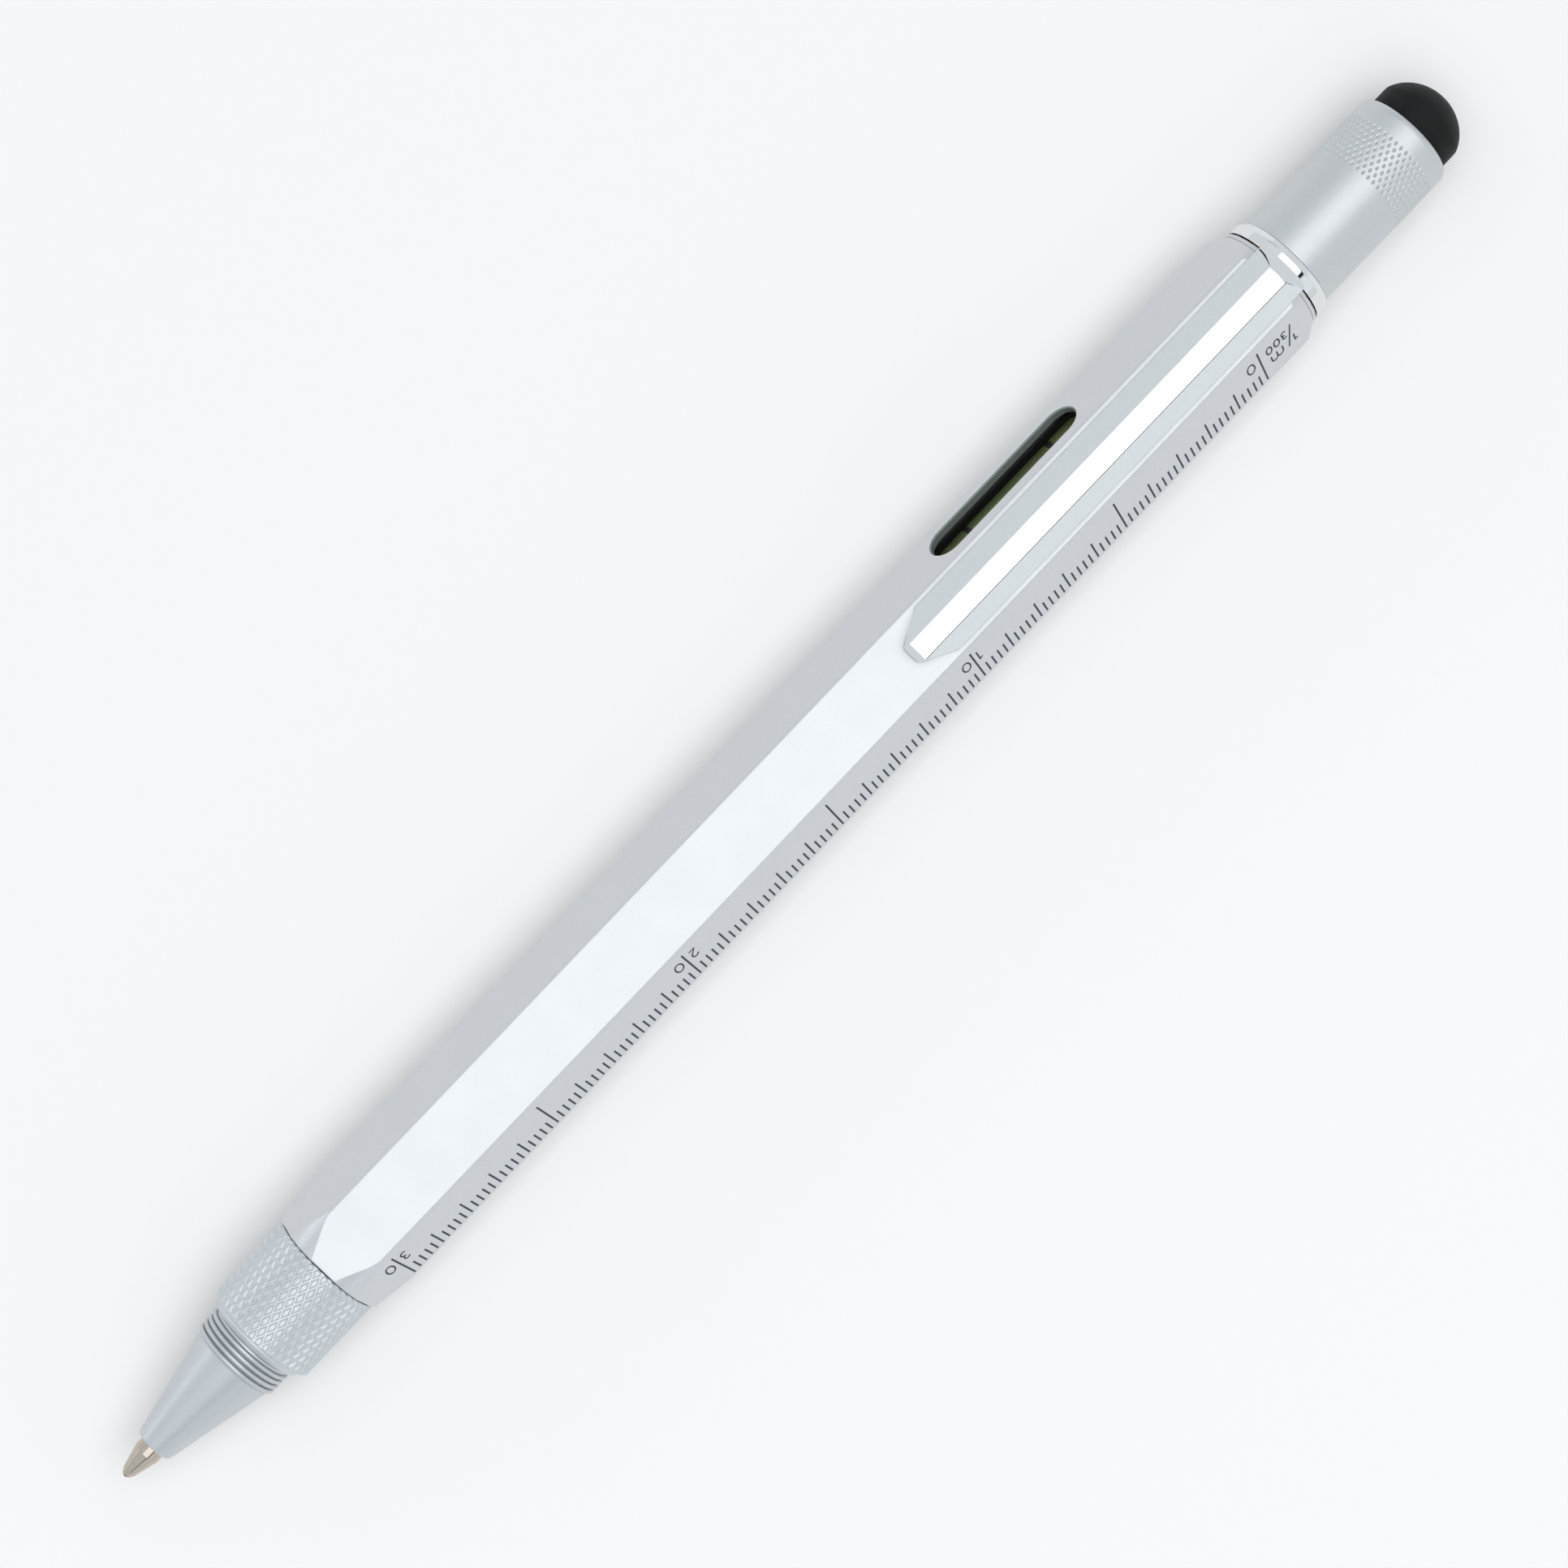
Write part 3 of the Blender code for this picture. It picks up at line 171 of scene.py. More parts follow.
def softened(profile, size, steps=3):
    # Each sharp corner of a closed outline becomes the curve (1-t)^2 a + 2t(1-t) p + t^2 b between the
    # points a and b that lie `size` before and after it; one more point on each side keeps the sides flat
    outline = np.asarray(profile, float)
    before = np.roll(outline, 1, axis=0) - outline
    after = np.roll(outline, -1, axis=0) - outline
    lengthBefore = np.linalg.norm(before, axis=1)
    lengthAfter = np.linalg.norm(after, axis=1)
    cosine = (before * after).sum(1) / (lengthBefore * lengthAfter)
    sharp = (cosine > nearlyStraight) & (outline[:, 1] > micrometre)
    firmStart = partWay(outline, before, lengthBefore, sharp, 2 * size, 0.48)[:, None]
    start = partWay(outline, before, lengthBefore, sharp, size, 0.4)[:, None]
    end = partWay(outline, after, lengthAfter, sharp, size, 0.4)[:, None]
    firmEnd = partWay(outline, after, lengthAfter, sharp, 2 * size, 0.48)[:, None]
    share = np.linspace(0, 1, steps + 1)[None, :, None]
    curve = (1 - share) ** 2 * start + 2 * share * (1 - share) * outline[:, None] + share ** 2 * end
    curve = np.concatenate([firmStart, curve, firmEnd], axis=1).reshape(-1, 2)
    moved = np.linalg.norm(curve - np.roll(curve, 1, axis=0), axis=1) > 1e-9
    return curve[moved]


def tubeWall(first, last, inner, outer):
    # The outline of a plain ring's wall: two places along the pen and two radii
    return [(first, inner), (first, outer), (last, outer), (last, inner)]


def swept(outline, angle, start=0):
    # An outline of (along, radius) points carried once round the pen's axis
    return aroundAxis(start + outline[:, 0], outline[:, 1], angle)


def turnedPiece(name, profile, look, body, stands=(), around=96, edge=0.00004, crease=35):
    # A closed profile with its corners softened, turned round the pen's axis
    points = swept(softened(profile, edge), evenAngles(around))
    return addGrid(name, points, look, body, stands, crease=crease)


def roundedHex(angle, acrossFlats, cornerRadius):
    # Distance from the centre of a hexagon to its outline at an angle: the flat's h / cos a, or where
    # the line meets the small circle that rounds the corner
    half = acrossFlats / 2
    local = np.abs((angle + sixth / 2) % sixth - sixth / 2)
    flatHalf = (half - cornerRadius) * math.tan(sixth / 2)
    centre = (half - cornerRadius) / math.cos(sixth / 2)
    offset = sixth / 2 - local
    inside = np.maximum(cornerRadius ** 2 - (centre * np.sin(offset)) ** 2, 0)
    onArc = centre * np.cos(offset) + np.sqrt(inside)
    return np.where(half * np.tan(local) <= flatHalf, half / np.cos(local), onArc)


def hexAngles(acrossFlats, cornerRadius, flatShares, cornerSteps):
    # Angles of a hexagon's columns: few on the flats, many on the rounded corners
    half = acrossFlats / 2
    edge = math.atan((half - cornerRadius) * math.tan(sixth / 2) / half)
    flats = np.asarray(flatShares) * edge
    corner = np.linspace(edge, sixth - edge, cornerSteps + 2)[1:-1]
    sector = np.concatenate([flats, corner])
    return (np.arange(6)[:, None] * sixth + sector).ravel()


def rowsBetween(first, last, shares):
    # Rows part way between two rows of values: a + (b - a) s
    share = np.asarray(shares)[:, None]
    return first + (last - first) * share


def cutAway(piece, cutter):
    # Takes the cutter's volume out of the piece; the cut walls keep the cutter's material
    cut = piece.modifiers.new("cut", "BOOLEAN")
    cut.operation = "DIFFERENCE"
    cut.object = cutter
    cut.solver = "EXACT"
    cut.material_mode = "TRANSFER"
    graph = bpy.context.evaluated_depsgraph_get()
    mesh = bpy.data.meshes.new_from_object(piece.evaluated_get(graph))
    piece.modifiers.clear()
    piece.data = mesh
    bpy.data.objects.remove(cutter, do_unlink=True)


# Materials

def feed(tree, node, sockets):
    # Gives each socket its fixed value, or the output that feeds it
    for name, value in sockets.items():
        if isinstance(value, bpy.types.NodeSocket):
            tree.links.new(value, node.inputs[name])
        else:
            node.inputs[name].default_value = value


def addNode(tree, kind, sockets, **settings):
    # A shader node: its settings come first, because they decide which sockets it has
    node = tree.nodes.new("ShaderNode" + kind)
    for name, setting in settings.items():
        setattr(node, name, setting)
    feed(tree, node, sockets)
    return node


def newFinish(name, colour, metallic, roughness):
    # A plain material, and the tree and shader through which it can be refined
    look = bpy.data.materials.new(name)
    look.use_nodes = True
    look.diffuse_color = (*colour, 1)
    shader = look.node_tree.nodes["Principled BSDF"]
    feed(look.node_tree, shader, {"Base Color": (*colour, 1), "Metallic": metallic, "Roughness": roughness})
    return look, look.node_tree, shader


def noiseLayer(tree, scale, stretch=(1, 1, 1), detail=2.0):
    # Noise on Object coordinates: scale is in cycles a metre, stretch favours a direction
    place = addNode(tree, "TexCoord", {}).outputs["Object"]
    mapped = addNode(tree, "Mapping", {"Vector": place, "Scale": stretch}).outputs["Vector"]
    return addNode(tree, "TexNoise", {"Vector": mapped, "Scale": scale, "Detail": detail}).outputs["Fac"]


def spread(tree, source, low, high, start=noiseRange[0], end=noiseRange[1]):
    # Stretches values from start to end into values from low to high
    remap = {"Value": source, "From Min": start, "From Max": end, "To Min": low, "To Max": high}
    return addNode(tree, "MapRange", remap).outputs["Result"]


def colourRamp(tree, source, stops):
    # Colours at places from 0 to 1
    ramp = addNode(tree, "ValToRGB", {"Fac": source})
    elements = ramp.color_ramp.elements
    while len(elements) < len(stops):
        elements.new(0.5)
    for element, (place, colour) in zip(elements, stops):
        element.position = place
        element.color = (*colour, 1)
    return ramp.outputs["Color"]


def shadesBetween(tree, noise, dark, light):
    # The dark colour where the noise is low, the light one where it is high
    return colourRamp(tree, noise, list(zip(noiseRange, (dark, light))))


def raised(tree, source, height, under=None):
    # Relief of that height on the surface, or on another relief under it
    sockets = {"Strength": 1.0, "Distance": height, "Height": source}
    if under is not None:
        sockets["Normal"] = under
    return addNode(tree, "Bump", sockets).outputs["Normal"]


def paintedGrooveShade(tree, colour, zone):
    # Painted shade in grooves: between two places along the pen, darker the nearer a point is to the
    # floor of its grooves: its distance from the axis is the length of (0, y, z - axis height)
    place = addNode(tree, "TexCoord", {}).outputs["Object"]
    fromAxis = addNode(tree, "VectorMath", {0: place, 1: (0, 1, 1), 2: (0, 0, -axisHeight)},
                       operation="MULTIPLY_ADD").outputs["Vector"]
    radius = addNode(tree, "VectorMath", {0: fromAxis}, operation="LENGTH").outputs["Value"]
    along = addNode(tree, "SeparateXYZ", {"Vector": place}).outputs["X"]
    middle, reach = (zone["from"] + zone["to"]) / 2, (zone["to"] - zone["from"]) / 2
    inZone = addNode(tree, "Math", {0: along, 1: middle, 2: reach}, operation="COMPARE").outputs["Value"]
    depth = spread(tree, radius, 1, 0, zone["floor"], zone["crest"])
    share = addNode(tree, "Math", {0: depth, 1: inZone}, operation="MULTIPLY").outputs["Value"]
    shade = (1 - zone["shade"],) * 3 + (1,)
    return addNode(tree, "Mix", {"Factor": share, "A": colour, "B": shade},
                   data_type="RGBA", blend_type="MULTIPLY").outputs["Result"]


def grainedFinish(name, colour, metallic, roughness, unevenness, grain, tone, relief, patch,
                  stretch=(1, 1, 1), wave=None, grooves=None, shine=0.5):
    # Fine grain in colour and relief, slow patches in roughness, and where asked for a slow wave in the
    # relief and painted shade in grooves
    dark = tuple(value * (1 - tone) for value in colour)
    light = tuple(min(value * (1 + tone), 1) for value in colour)
    look, tree, shader = newFinish(name, colour, metallic, roughness)
    grains = noiseLayer(tree, grain, stretch)
    patches = noiseLayer(tree, patch, detail=3.0)
    tinted = shadesBetween(tree, grains, dark, light)
    # painted shade: darker towards the grooves' floor
    if grooves:
        tinted = paintedGrooveShade(tree, tinted, grooves)
    rough = spread(tree, patches, roughness - unevenness, roughness + unevenness)
    normal = raised(tree, grains, relief * micrometre)
    if wave:
        normal = raised(tree, noiseLayer(tree, wave[0], detail=1.0), wave[1] * micrometre, normal)
    feed(tree, shader, {"Base Color": tinted, "Roughness": rough, "Normal": normal,
                        "Specular IOR Level": shine})
    return look


def clearFinish(name, colour, roughness, cover, bending, patch, relief):
    # Tinted clear plastic or liquid: part of the light goes straight through
    look, tree, shader = newFinish(name, colour, 0.0, roughness)
    flow = noiseLayer(tree, patch)
    dark = tuple(value * clearDark for value in colour)
    feed(tree, shader, {"Base Color": shadesBetween(tree, flow, dark, colour), "IOR": bending,
                        "Normal": raised(tree, flow, relief * micrometre), "Alpha": cover})
    return look


# Colour, metallic, roughness and its unevenness, grain in cycles a metre, the grain's tone and its relief
# in micrometres, and patches in cycles a metre
finishes = {
    "silverLacquer": ((0.603, 0.626, 0.648), 0.75, 0.34, 0.03, 14000, 0.05, 1.2, 300),
    "satinGrip": ((0.62, 0.655, 0.68), 0.9, 0.46, 0.04, 12000, 0.05, 1.5, 500),
    "turnedNose": ((0.57, 0.6, 0.625), 0.9, 0.4, 0.02, 12000, 0.035, 0.8, 350),
    "satinCap": ((0.595, 0.62, 0.635), 0.9, 0.45, 0.02, 11000, 0.03, 0.8, 300),
    "mirrorChrome": ((0.77, 0.79, 0.8), 1.0, 0.06, 0.02, 3000, 0.01, 0.2, 250),
    "nickelSilver": ((0.53, 0.475, 0.41), 1.0, 0.12, 0.03, 16000, 0.04, 0.3, 900),
    # the ball is near black as painted shade of the point's mouth
    "ballBlackAsShade": ((0.02, 0.02, 0.022), 1.0, 0.25, 0.04, 20000, 0.05, 0.5, 400),
    "turnedBrass": ((0.76, 0.57, 0.28), 1.0, 0.27, 0.05, 9000, 0.08, 2.0, 500),
    # brass darkened near black: painted shade for inner parts seen in dark gaps
    "brassDarkAsShade": ((0.16, 0.12, 0.06), 1.0, 0.45, 0.05, 9000, 0.1, 2.0, 500),
    "springSteel": ((0.52, 0.52, 0.54), 1.0, 0.3, 0.05, 9000, 0.08, 1.0, 400),
    "blackenedSteel": ((0.075, 0.078, 0.085), 0.85, 0.36, 0.07, 9000, 0.18, 1.5, 600),
    "platedMagnet": ((0.55, 0.55, 0.56), 1.0, 0.28, 0.05, 8000, 0.06, 1.0, 400),
    "stylusRubber": ((0.008, 0.008, 0.0085), 0.0, 0.6, 0.05, 16000, 0.35, 6.0, 700),
    "blackLiner": ((0.006, 0.006, 0.005), 0.0, 0.5, 0.05, 9000, 0.25, 3.0, 400),
    # the slot's cut wall: bare metal, darkened grey-green with painted shade and painted reflection of the
    # dark vial
    "windowWallShade": ((0.22, 0.25, 0.24), 0.6, 0.5, 0.06, 9000, 0.2, 3.0, 400),
    "greyNylon": ((0.07, 0.07, 0.075), 0.0, 0.5, 0.06, 7000, 0.2, 3.0, 400),
    "inkPaste": ((0.01, 0.01, 0.03), 0.0, 0.3, 0.05, 3000, 0.2, 3.0, 400),
    "greyPrint": ((0.022, 0.024, 0.027), 0.0, 0.55, 0.05, 15000, 0.2, 2.0, 400),
}
extras = {
    "silverLacquer": {"wave": (900, 4)},
    # the nose's rib grooves get painted shade, darker towards their floor
    "turnedNose": {"stretch": (1, 0.6, 0.6),
                   "grooves": {"from": -0.0645, "to": -0.06236, "floor": 0.00388, "crest": 0.00398,
                               "shade": 0.18}},
    "satinCap": {"stretch": (1, 0.5, 0.5)},
    "nickelSilver": {"stretch": (1, 0.2, 0.2)},
    "turnedBrass": {"stretch": (1, 0.08, 0.08)},
    "brassDarkAsShade": {"stretch": (1, 0.08, 0.08)},
    "stylusRubber": {"shine": 0.16},
    "blackLiner": {"shine": 0.2},
}
looks = {name: grainedFinish(name, *finish, **extras.get(name, {})) for name, finish in finishes.items()}
# Colour, roughness, how much of it covers what is behind, bending of light, patches and their relief
clearFinishes = {
    "vialAcrylic": ((0.11, 0.145, 0.055), 0.05, 0.6, 1.49, 250, 3),
    "greenLiquid": ((0.10, 0.16, 0.03), 0.06, 0.85, 1.37, 180, 2),
}
looks.update({name: clearFinish(name, *finish) for name, finish in clearFinishes.items()})
print("materials made:", len(looks))


# Barrel

barrelShape = {
    "acrossFlats": 0.010, "corner": 0.00036, "bore": 0.0089, "boreCorner": 0.002,
    "frontRadius": 0.0052, "frontCone": 0.00375, "rearRadius": 0.005, "rearCone": 0.00118, "edge": 0.00011,
    "groove": 0.00012, "grooveRadius": 0.00488, "bead": 0.00034, "beadRadius": 0.00499, "beadRound": 0.00009,
    "flatShares": (-1, -0.985, -0.93, -0.5, 0, 0.5, 0.93, 0.985, 1), "cornerSteps": 6,
    "windowLength": 0.01625, "windowWidth": 0.00355, "windowFromRear": 0.02734, "windowLip": 0.00011,
    "cutAbove": 0.0006, "cutBelow": 0.0018,
    "rearShift": 0.00013,    # the barrel's rear end sits this much further back than in the frame
    "nearCrease": 0.00003,    # from a crease to the next row of points
}
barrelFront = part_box("barrel")[0].x
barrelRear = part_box("barrel")[1].x
windowX = barrelRear - barrelShape["windowFromRear"]
windowAngle = sixth
rulerAngle = -sixth


def facePoint(angle, along, across, height):
    # A point at a flat of the barrel: along the pen, across towards larger angles, and out from the flat
    out = np.array([0, math.sin(angle), math.cos(angle)])
    side = np.array([0, math.cos(angle), -math.sin(angle)])
    level = barrelShape["acrossFlats"] / 2 + np.asarray(height, float)
    along, across, level = np.broadcast_arrays(along, across, level)
    point = across[..., None] * side + level[..., None] * out
    point[..., 0] += along
    point[..., 2] += axisHeight
    return point


def buildBarrel():
    # The outside is the smaller of a rounded hexagon's radius and a turned cone's, with a row of points
    # on the line where they meet; the inside is a rounded hexagon
    shape = SimpleNamespace(**barrelShape)
    angle = hexAngles(shape.acrossFlats, shape.corner, shape.flatShares, shape.cornerSteps)
    hexagon = roundedHex(angle, shape.acrossFlats, shape.corner)
    bore = roundedHex(angle, shape.bore, shape.boreCorner)
    corner = hexagon.max()
    edge = shape.edge
    length = barrelRear + shape.rearShift - barrelFront
    same = np.ones_like(angle)
    front = np.minimum(hexagon, shape.frontRadius)
    frontCrease = np.maximum((hexagon - front) * shape.frontCone / (corner - shape.frontRadius), edge)
    step = length - shape.groove - shape.bead
    grooveShare = np.array([[0.1], [0.5], [0.9]])
    beadTurn = np.linspace(0, math.pi, 11)[:, None]
    beadAlong = length - shape.bead * (1 + np.cos(beadTurn)) / 2
    beadRadius = shape.beadRadius - shape.beadRound * (1 - np.sin(beadTurn))
    rearCrease = step - (hexagon - shape.rearRadius) * shape.rearCone / (corner - shape.rearRadius)
    middleStart, middleEnd = frontCrease + shape.nearCrease, rearCrease - shape.nearCrease
    along = [rowsBetween(0 * same, edge * same, (0, 0.3, 1)),
             rowsBetween(edge * same, frontCrease, (0.3, 0.7, 0.985, 1)),
             rowsBetween(middleStart, middleEnd, (0, 0.03, 0.15, 0.35, 0.5, 0.65, 0.85, 0.97, 1)),
             rowsBetween(rearCrease, step * same, (0, 0.03, 0.5, 0.97, 1)),
             (step + grooveShare * shape.groove) * same, beadAlong * same,
             rowsBetween(length * same, 0 * same, (0, 0.5, 1))]
    radius = [rowsBetween(front - edge, front, (0, 0.7, 1)),
              rowsBetween(front, hexagon, (0.3, 0.7, 0.985, 1)),
              rowsBetween(hexagon, hexagon, [0] * 9),
              rowsBetween(hexagon, shape.rearRadius * same, (0, 0.03, 0.5, 0.97, 1)),
              shape.grooveRadius * np.ones_like(grooveShare) * same, beadRadius * same,
              rowsBetween(bore, bore, [0] * 3)]
    points = aroundAxis(barrelFront + np.concatenate(along), np.concatenate(radius), angle)
    return addGrid("barrelTube", points, "silverLacquer", "barrel_body", ["barrel"])


def stadium(length, width, steps=24):
    # Outline of a slot: two half circles joined by straight sides
    turn = np.linspace(-math.pi / 2, math.pi / 2, steps)
    reach = (length - width) / 2
    right = arc((reach, 0), width / 2, turn)
    return np.concatenate([right, -right])


def windowCutter():
    # The slot's outline carried inwards, flared by a small lip where it leaves the flat
    shape = SimpleNamespace(**barrelShape)
    lip = shape.windowLip
    rings = []
    for height, flare in ((shape.cutAbove, 1), (0, 1), (-lip / 2, 0.4), (-lip, 0), (-shape.cutBelow, 0)):
        grow = 2 * flare * lip
        outline = stadium(shape.windowLength + grow, shape.windowWidth + grow)
        rings.append(facePoint(windowAngle, windowX + outline[:, 0], outline[:, 1], height))
    mesh = gridMesh("windowCut", withEnds(np.stack(rings)), loopRows=False)
    # the cut walls take bare metal darkened with painted shade and painted reflection
    mesh.materials.append(looks["windowWallShade"])
    return addObject("windowCut", mesh)


barrelTube = buildBarrel()
cutAway(barrelTube, windowCutter())
barrelTube.data.set_sharp_from_angle(angle=math.radians(35))
print("barrel built:", len(barrelTube.data.polygons), "faces")


# Printed scale

scaleShape = {
    "zero": 0.05082, "length": 0.100, "marks": 150, "base": -0.00247, "thick": 0.000012, "sunk": 0.00001,
    "short": 0.0015, "middle": 0.0025, "long": 0.00445, "width": 0.00017,
    "digitLine": 0.00015, "digitHeight": 0.00125, "digitWidth": 0.00076, "digitAcross": 0.00078,
    "tensWidth": 0.8, "zeroAside": 0.00084, "firstZeroAside": 0.00100,
    "tensAside": {10: 0.00050, 20: 0.00086, 30: 0.00082},
    # The small figures behind the zero line: sign, distance along and across, width and height
    "small": [("0", 0.00110, 0.00083, 0.00056, 0.00094), ("0", 0.00198, 0.00083, 0.00056, 0.00094),
              ("3", 0.00282, 0.00083, 0.00052, 0.00094), ("m", 0.00166, -0.00061, 0.00128, 0.00086),
              ("1", 0.00363, -0.00060, 0.00060, 0.00086), ("/", 0.00328, 0.00013, 0.00076, 0.00262)],
}


def boxesOnFace(low, high, widths):
    # One thin box for each mark: low and high are (along, across) ends, widths their breadths
    direction = high - low
    unit = direction / np.linalg.norm(direction, axis=1)[:, None]
    side = pairs(-unit[:, 1], unit[:, 0]) * widths[:, None] / 2
    corners = np.stack([low - side, low + side, high + side, high - side], axis=1)
    bottom = facePoint(rulerAngle, corners[..., 0], corners[..., 1], -scaleShape["sunk"])
    top = facePoint(rulerAngle, corners[..., 0], corners[..., 1], scaleShape["thick"])
    points = np.concatenate([bottom, top], axis=1)
    box = np.array([[0, 1, 2, 3], [7, 6, 5, 4], [0, 4, 5, 1], [1, 5, 6, 2], [2, 6, 7, 3], [3, 7, 4, 0]])
    faces = box[None] + 8 * np.arange(len(points))[:, None, None]
    return points.reshape(-1, 3), faces.reshape(-1, 4)


def buildMarks():
    # Mark n stands n / marks of the scale's length from zero; each fifth and twenty-fifth one is longer
    shape = SimpleNamespace(**scaleShape)
    number = np.arange(shape.marks + 1)
    reach = np.where(number % 25 == 0, shape.long, np.where(number % 5 == 0, shape.middle, shape.short))
    along = shape.zero - number * shape.length / shape.marks
    low = pairs(along, shape.base)
    high = pairs(along, shape.base + reach)
    points, faces = boxesOnFace(low, high, np.full(len(along), shape.width))
    mesh = arraysToMesh("scaleMarks", points, faces)
    addPiece("scaleMarks", mesh, "greyPrint", "barrel_body")


def glyphStrokes(sign):
    # Strokes of a figure in a unit square, x to the right and y up
    turn = np.linspace(0, fullTurn, 41)
    if sign == "0":
        return [arc(0.5, 0.5, turn)]
    if sign == "1":
        return [np.array([(0.0, 0.93), (0.5, 1.0), (0.5, 0.0)])]
    if sign == "2":
        top = np.linspace(math.radians(165), math.radians(-40), 20)
        bow = arc((0.5, 0.70), (0.45, 0.30), top)
        return [np.concatenate([bow, [(0.04, 0.0), (1.0, 0.0)]])]
    if sign == "3":
        upper = np.linspace(math.radians(150), math.radians(-90), 18)
        lower = np.linspace(math.radians(90), math.radians(-150), 18)
        high = arc((0.48, 0.76), (0.40, 0.24), upper)
        low = arc((0.48, 0.26), (0.46, 0.26), lower)
        return [np.concatenate([high, low[1:]])]
    if sign == "m":
        arch = np.linspace(math.pi, 0, 14)
        first = arc((0.25, 0.66), (0.25, 0.34), arch)
        left = np.concatenate([[(0.0, 0.0)], first, [(0.5, 0.0)]])
        right = np.concatenate([first + (0.5, 0.0), [(1.0, 0.0)]])
        return [left, right]
    return [np.array([(0.0, 0.0), (1.0, 1.0)])]


def strokeRibbon(path, width):
    # A flat line of even width along a path, with mitred bends; its two sides stand on the flat
    step = np.diff(path, axis=0)
    step /= np.linalg.norm(step, axis=1)[:, None]
    closed = np.allclose(path[0], path[-1])
    before = np.concatenate([step[-1:] if closed else step[:1], step])
    after = np.concatenate([step, step[:1] if closed else step[-1:]])
    tangent = before + after
    tangent /= np.linalg.norm(tangent, axis=1)[:, None]
    normal = pairs(-tangent[:, 1], tangent[:, 0])
    across = pairs(-before[:, 1], before[:, 0])
    mitre = np.clip((normal * across).sum(1), 0.6, 1)
    side = normal * (width / 2 / mitre)[:, None]
    low = -scaleShape["sunk"]
    high = scaleShape["thick"]
    left, right = path + side, path - side
    points = np.stack([facePoint(rulerAngle, line[:, 0], line[:, 1], height)
                       for line, height in ((left, low), (left, high), (right, high), (right, low))], axis=1)
    points = points[:-1] if closed else withEnds(points)
    return points.reshape(-1, 3), gridFaces(*points.shape[:2], closed, True)


def buildFigures():
    # The figures read towards the point, with their tops towards the flat's lower edge
    shape = SimpleNamespace(**scaleShape)
    glyphs = []
    wide, tall, across = shape.digitWidth, shape.digitHeight, shape.digitAcross
    for metres in (0, 10, 20, 30):
        line = shape.zero - metres / 30 * shape.length
        glyphs.append(("0", line - (shape.zeroAside if metres else shape.firstZeroAside), across, wide, tall))
        if metres:
            tens = str(metres // 10)
            glyphs.append((tens, line + shape.tensAside[metres], across, wide * shape.tensWidth, tall))
    glyphs += [(sign, shape.zero + along, *rest) for sign, along, *rest in shape.small]
    allPoints, allFaces, count = [], [], 0
    for sign, along, across, wide, high in glyphs:
        for stroke in glyphStrokes(sign):
            path = (along, across) - (stroke - 0.5) * (wide, high)
            points, faces = strokeRibbon(path, shape.digitLine)
            allPoints.append(points)
            allFaces.append(faces + count)
            count += len(points)
    mesh = arraysToMesh("scaleFigures", np.concatenate(allPoints), np.concatenate(allFaces))
    addPiece("scaleFigures", mesh, "greyPrint", "barrel_body")


buildMarks()
buildFigures()
print("scale printed")


# Grip and nose

gripShape = {
    "radius": 0.00499, "frontRadius": 0.0040, "chamfer": 0.00092, "bore": 0.00398, "lipBore": 0.00311,
    "lip": 0.0011, "rearChamfer": 0.0001, "rearReach": 0.00005, "edge": 0.0001, "count": 41, "pitch": 0.00158,
    "depth": 0.00013, "perPitch": 12, "flatBottom": 1, "slopeEnd": 3.2, "shift": 1, "turn": -2.66,
}


def diamondCuts(row, column, shape):
    # Two families of grooves across a lattice of `perPitch` cells, along row + column and column - row:
    # each is level within `flatBottom` cells of its middle and rises to nothing at `slopeEnd`
    per = shape.perPitch
    first = np.abs((column + row - shape.shift) % per - per / 2)
    second = np.abs((column - row + shape.shift) % per - per / 2)
    near = np.minimum(first, second)
    return np.clip((shape.slopeEnd - near) / (shape.slopeEnd - shape.flatBottom), 0, 1)


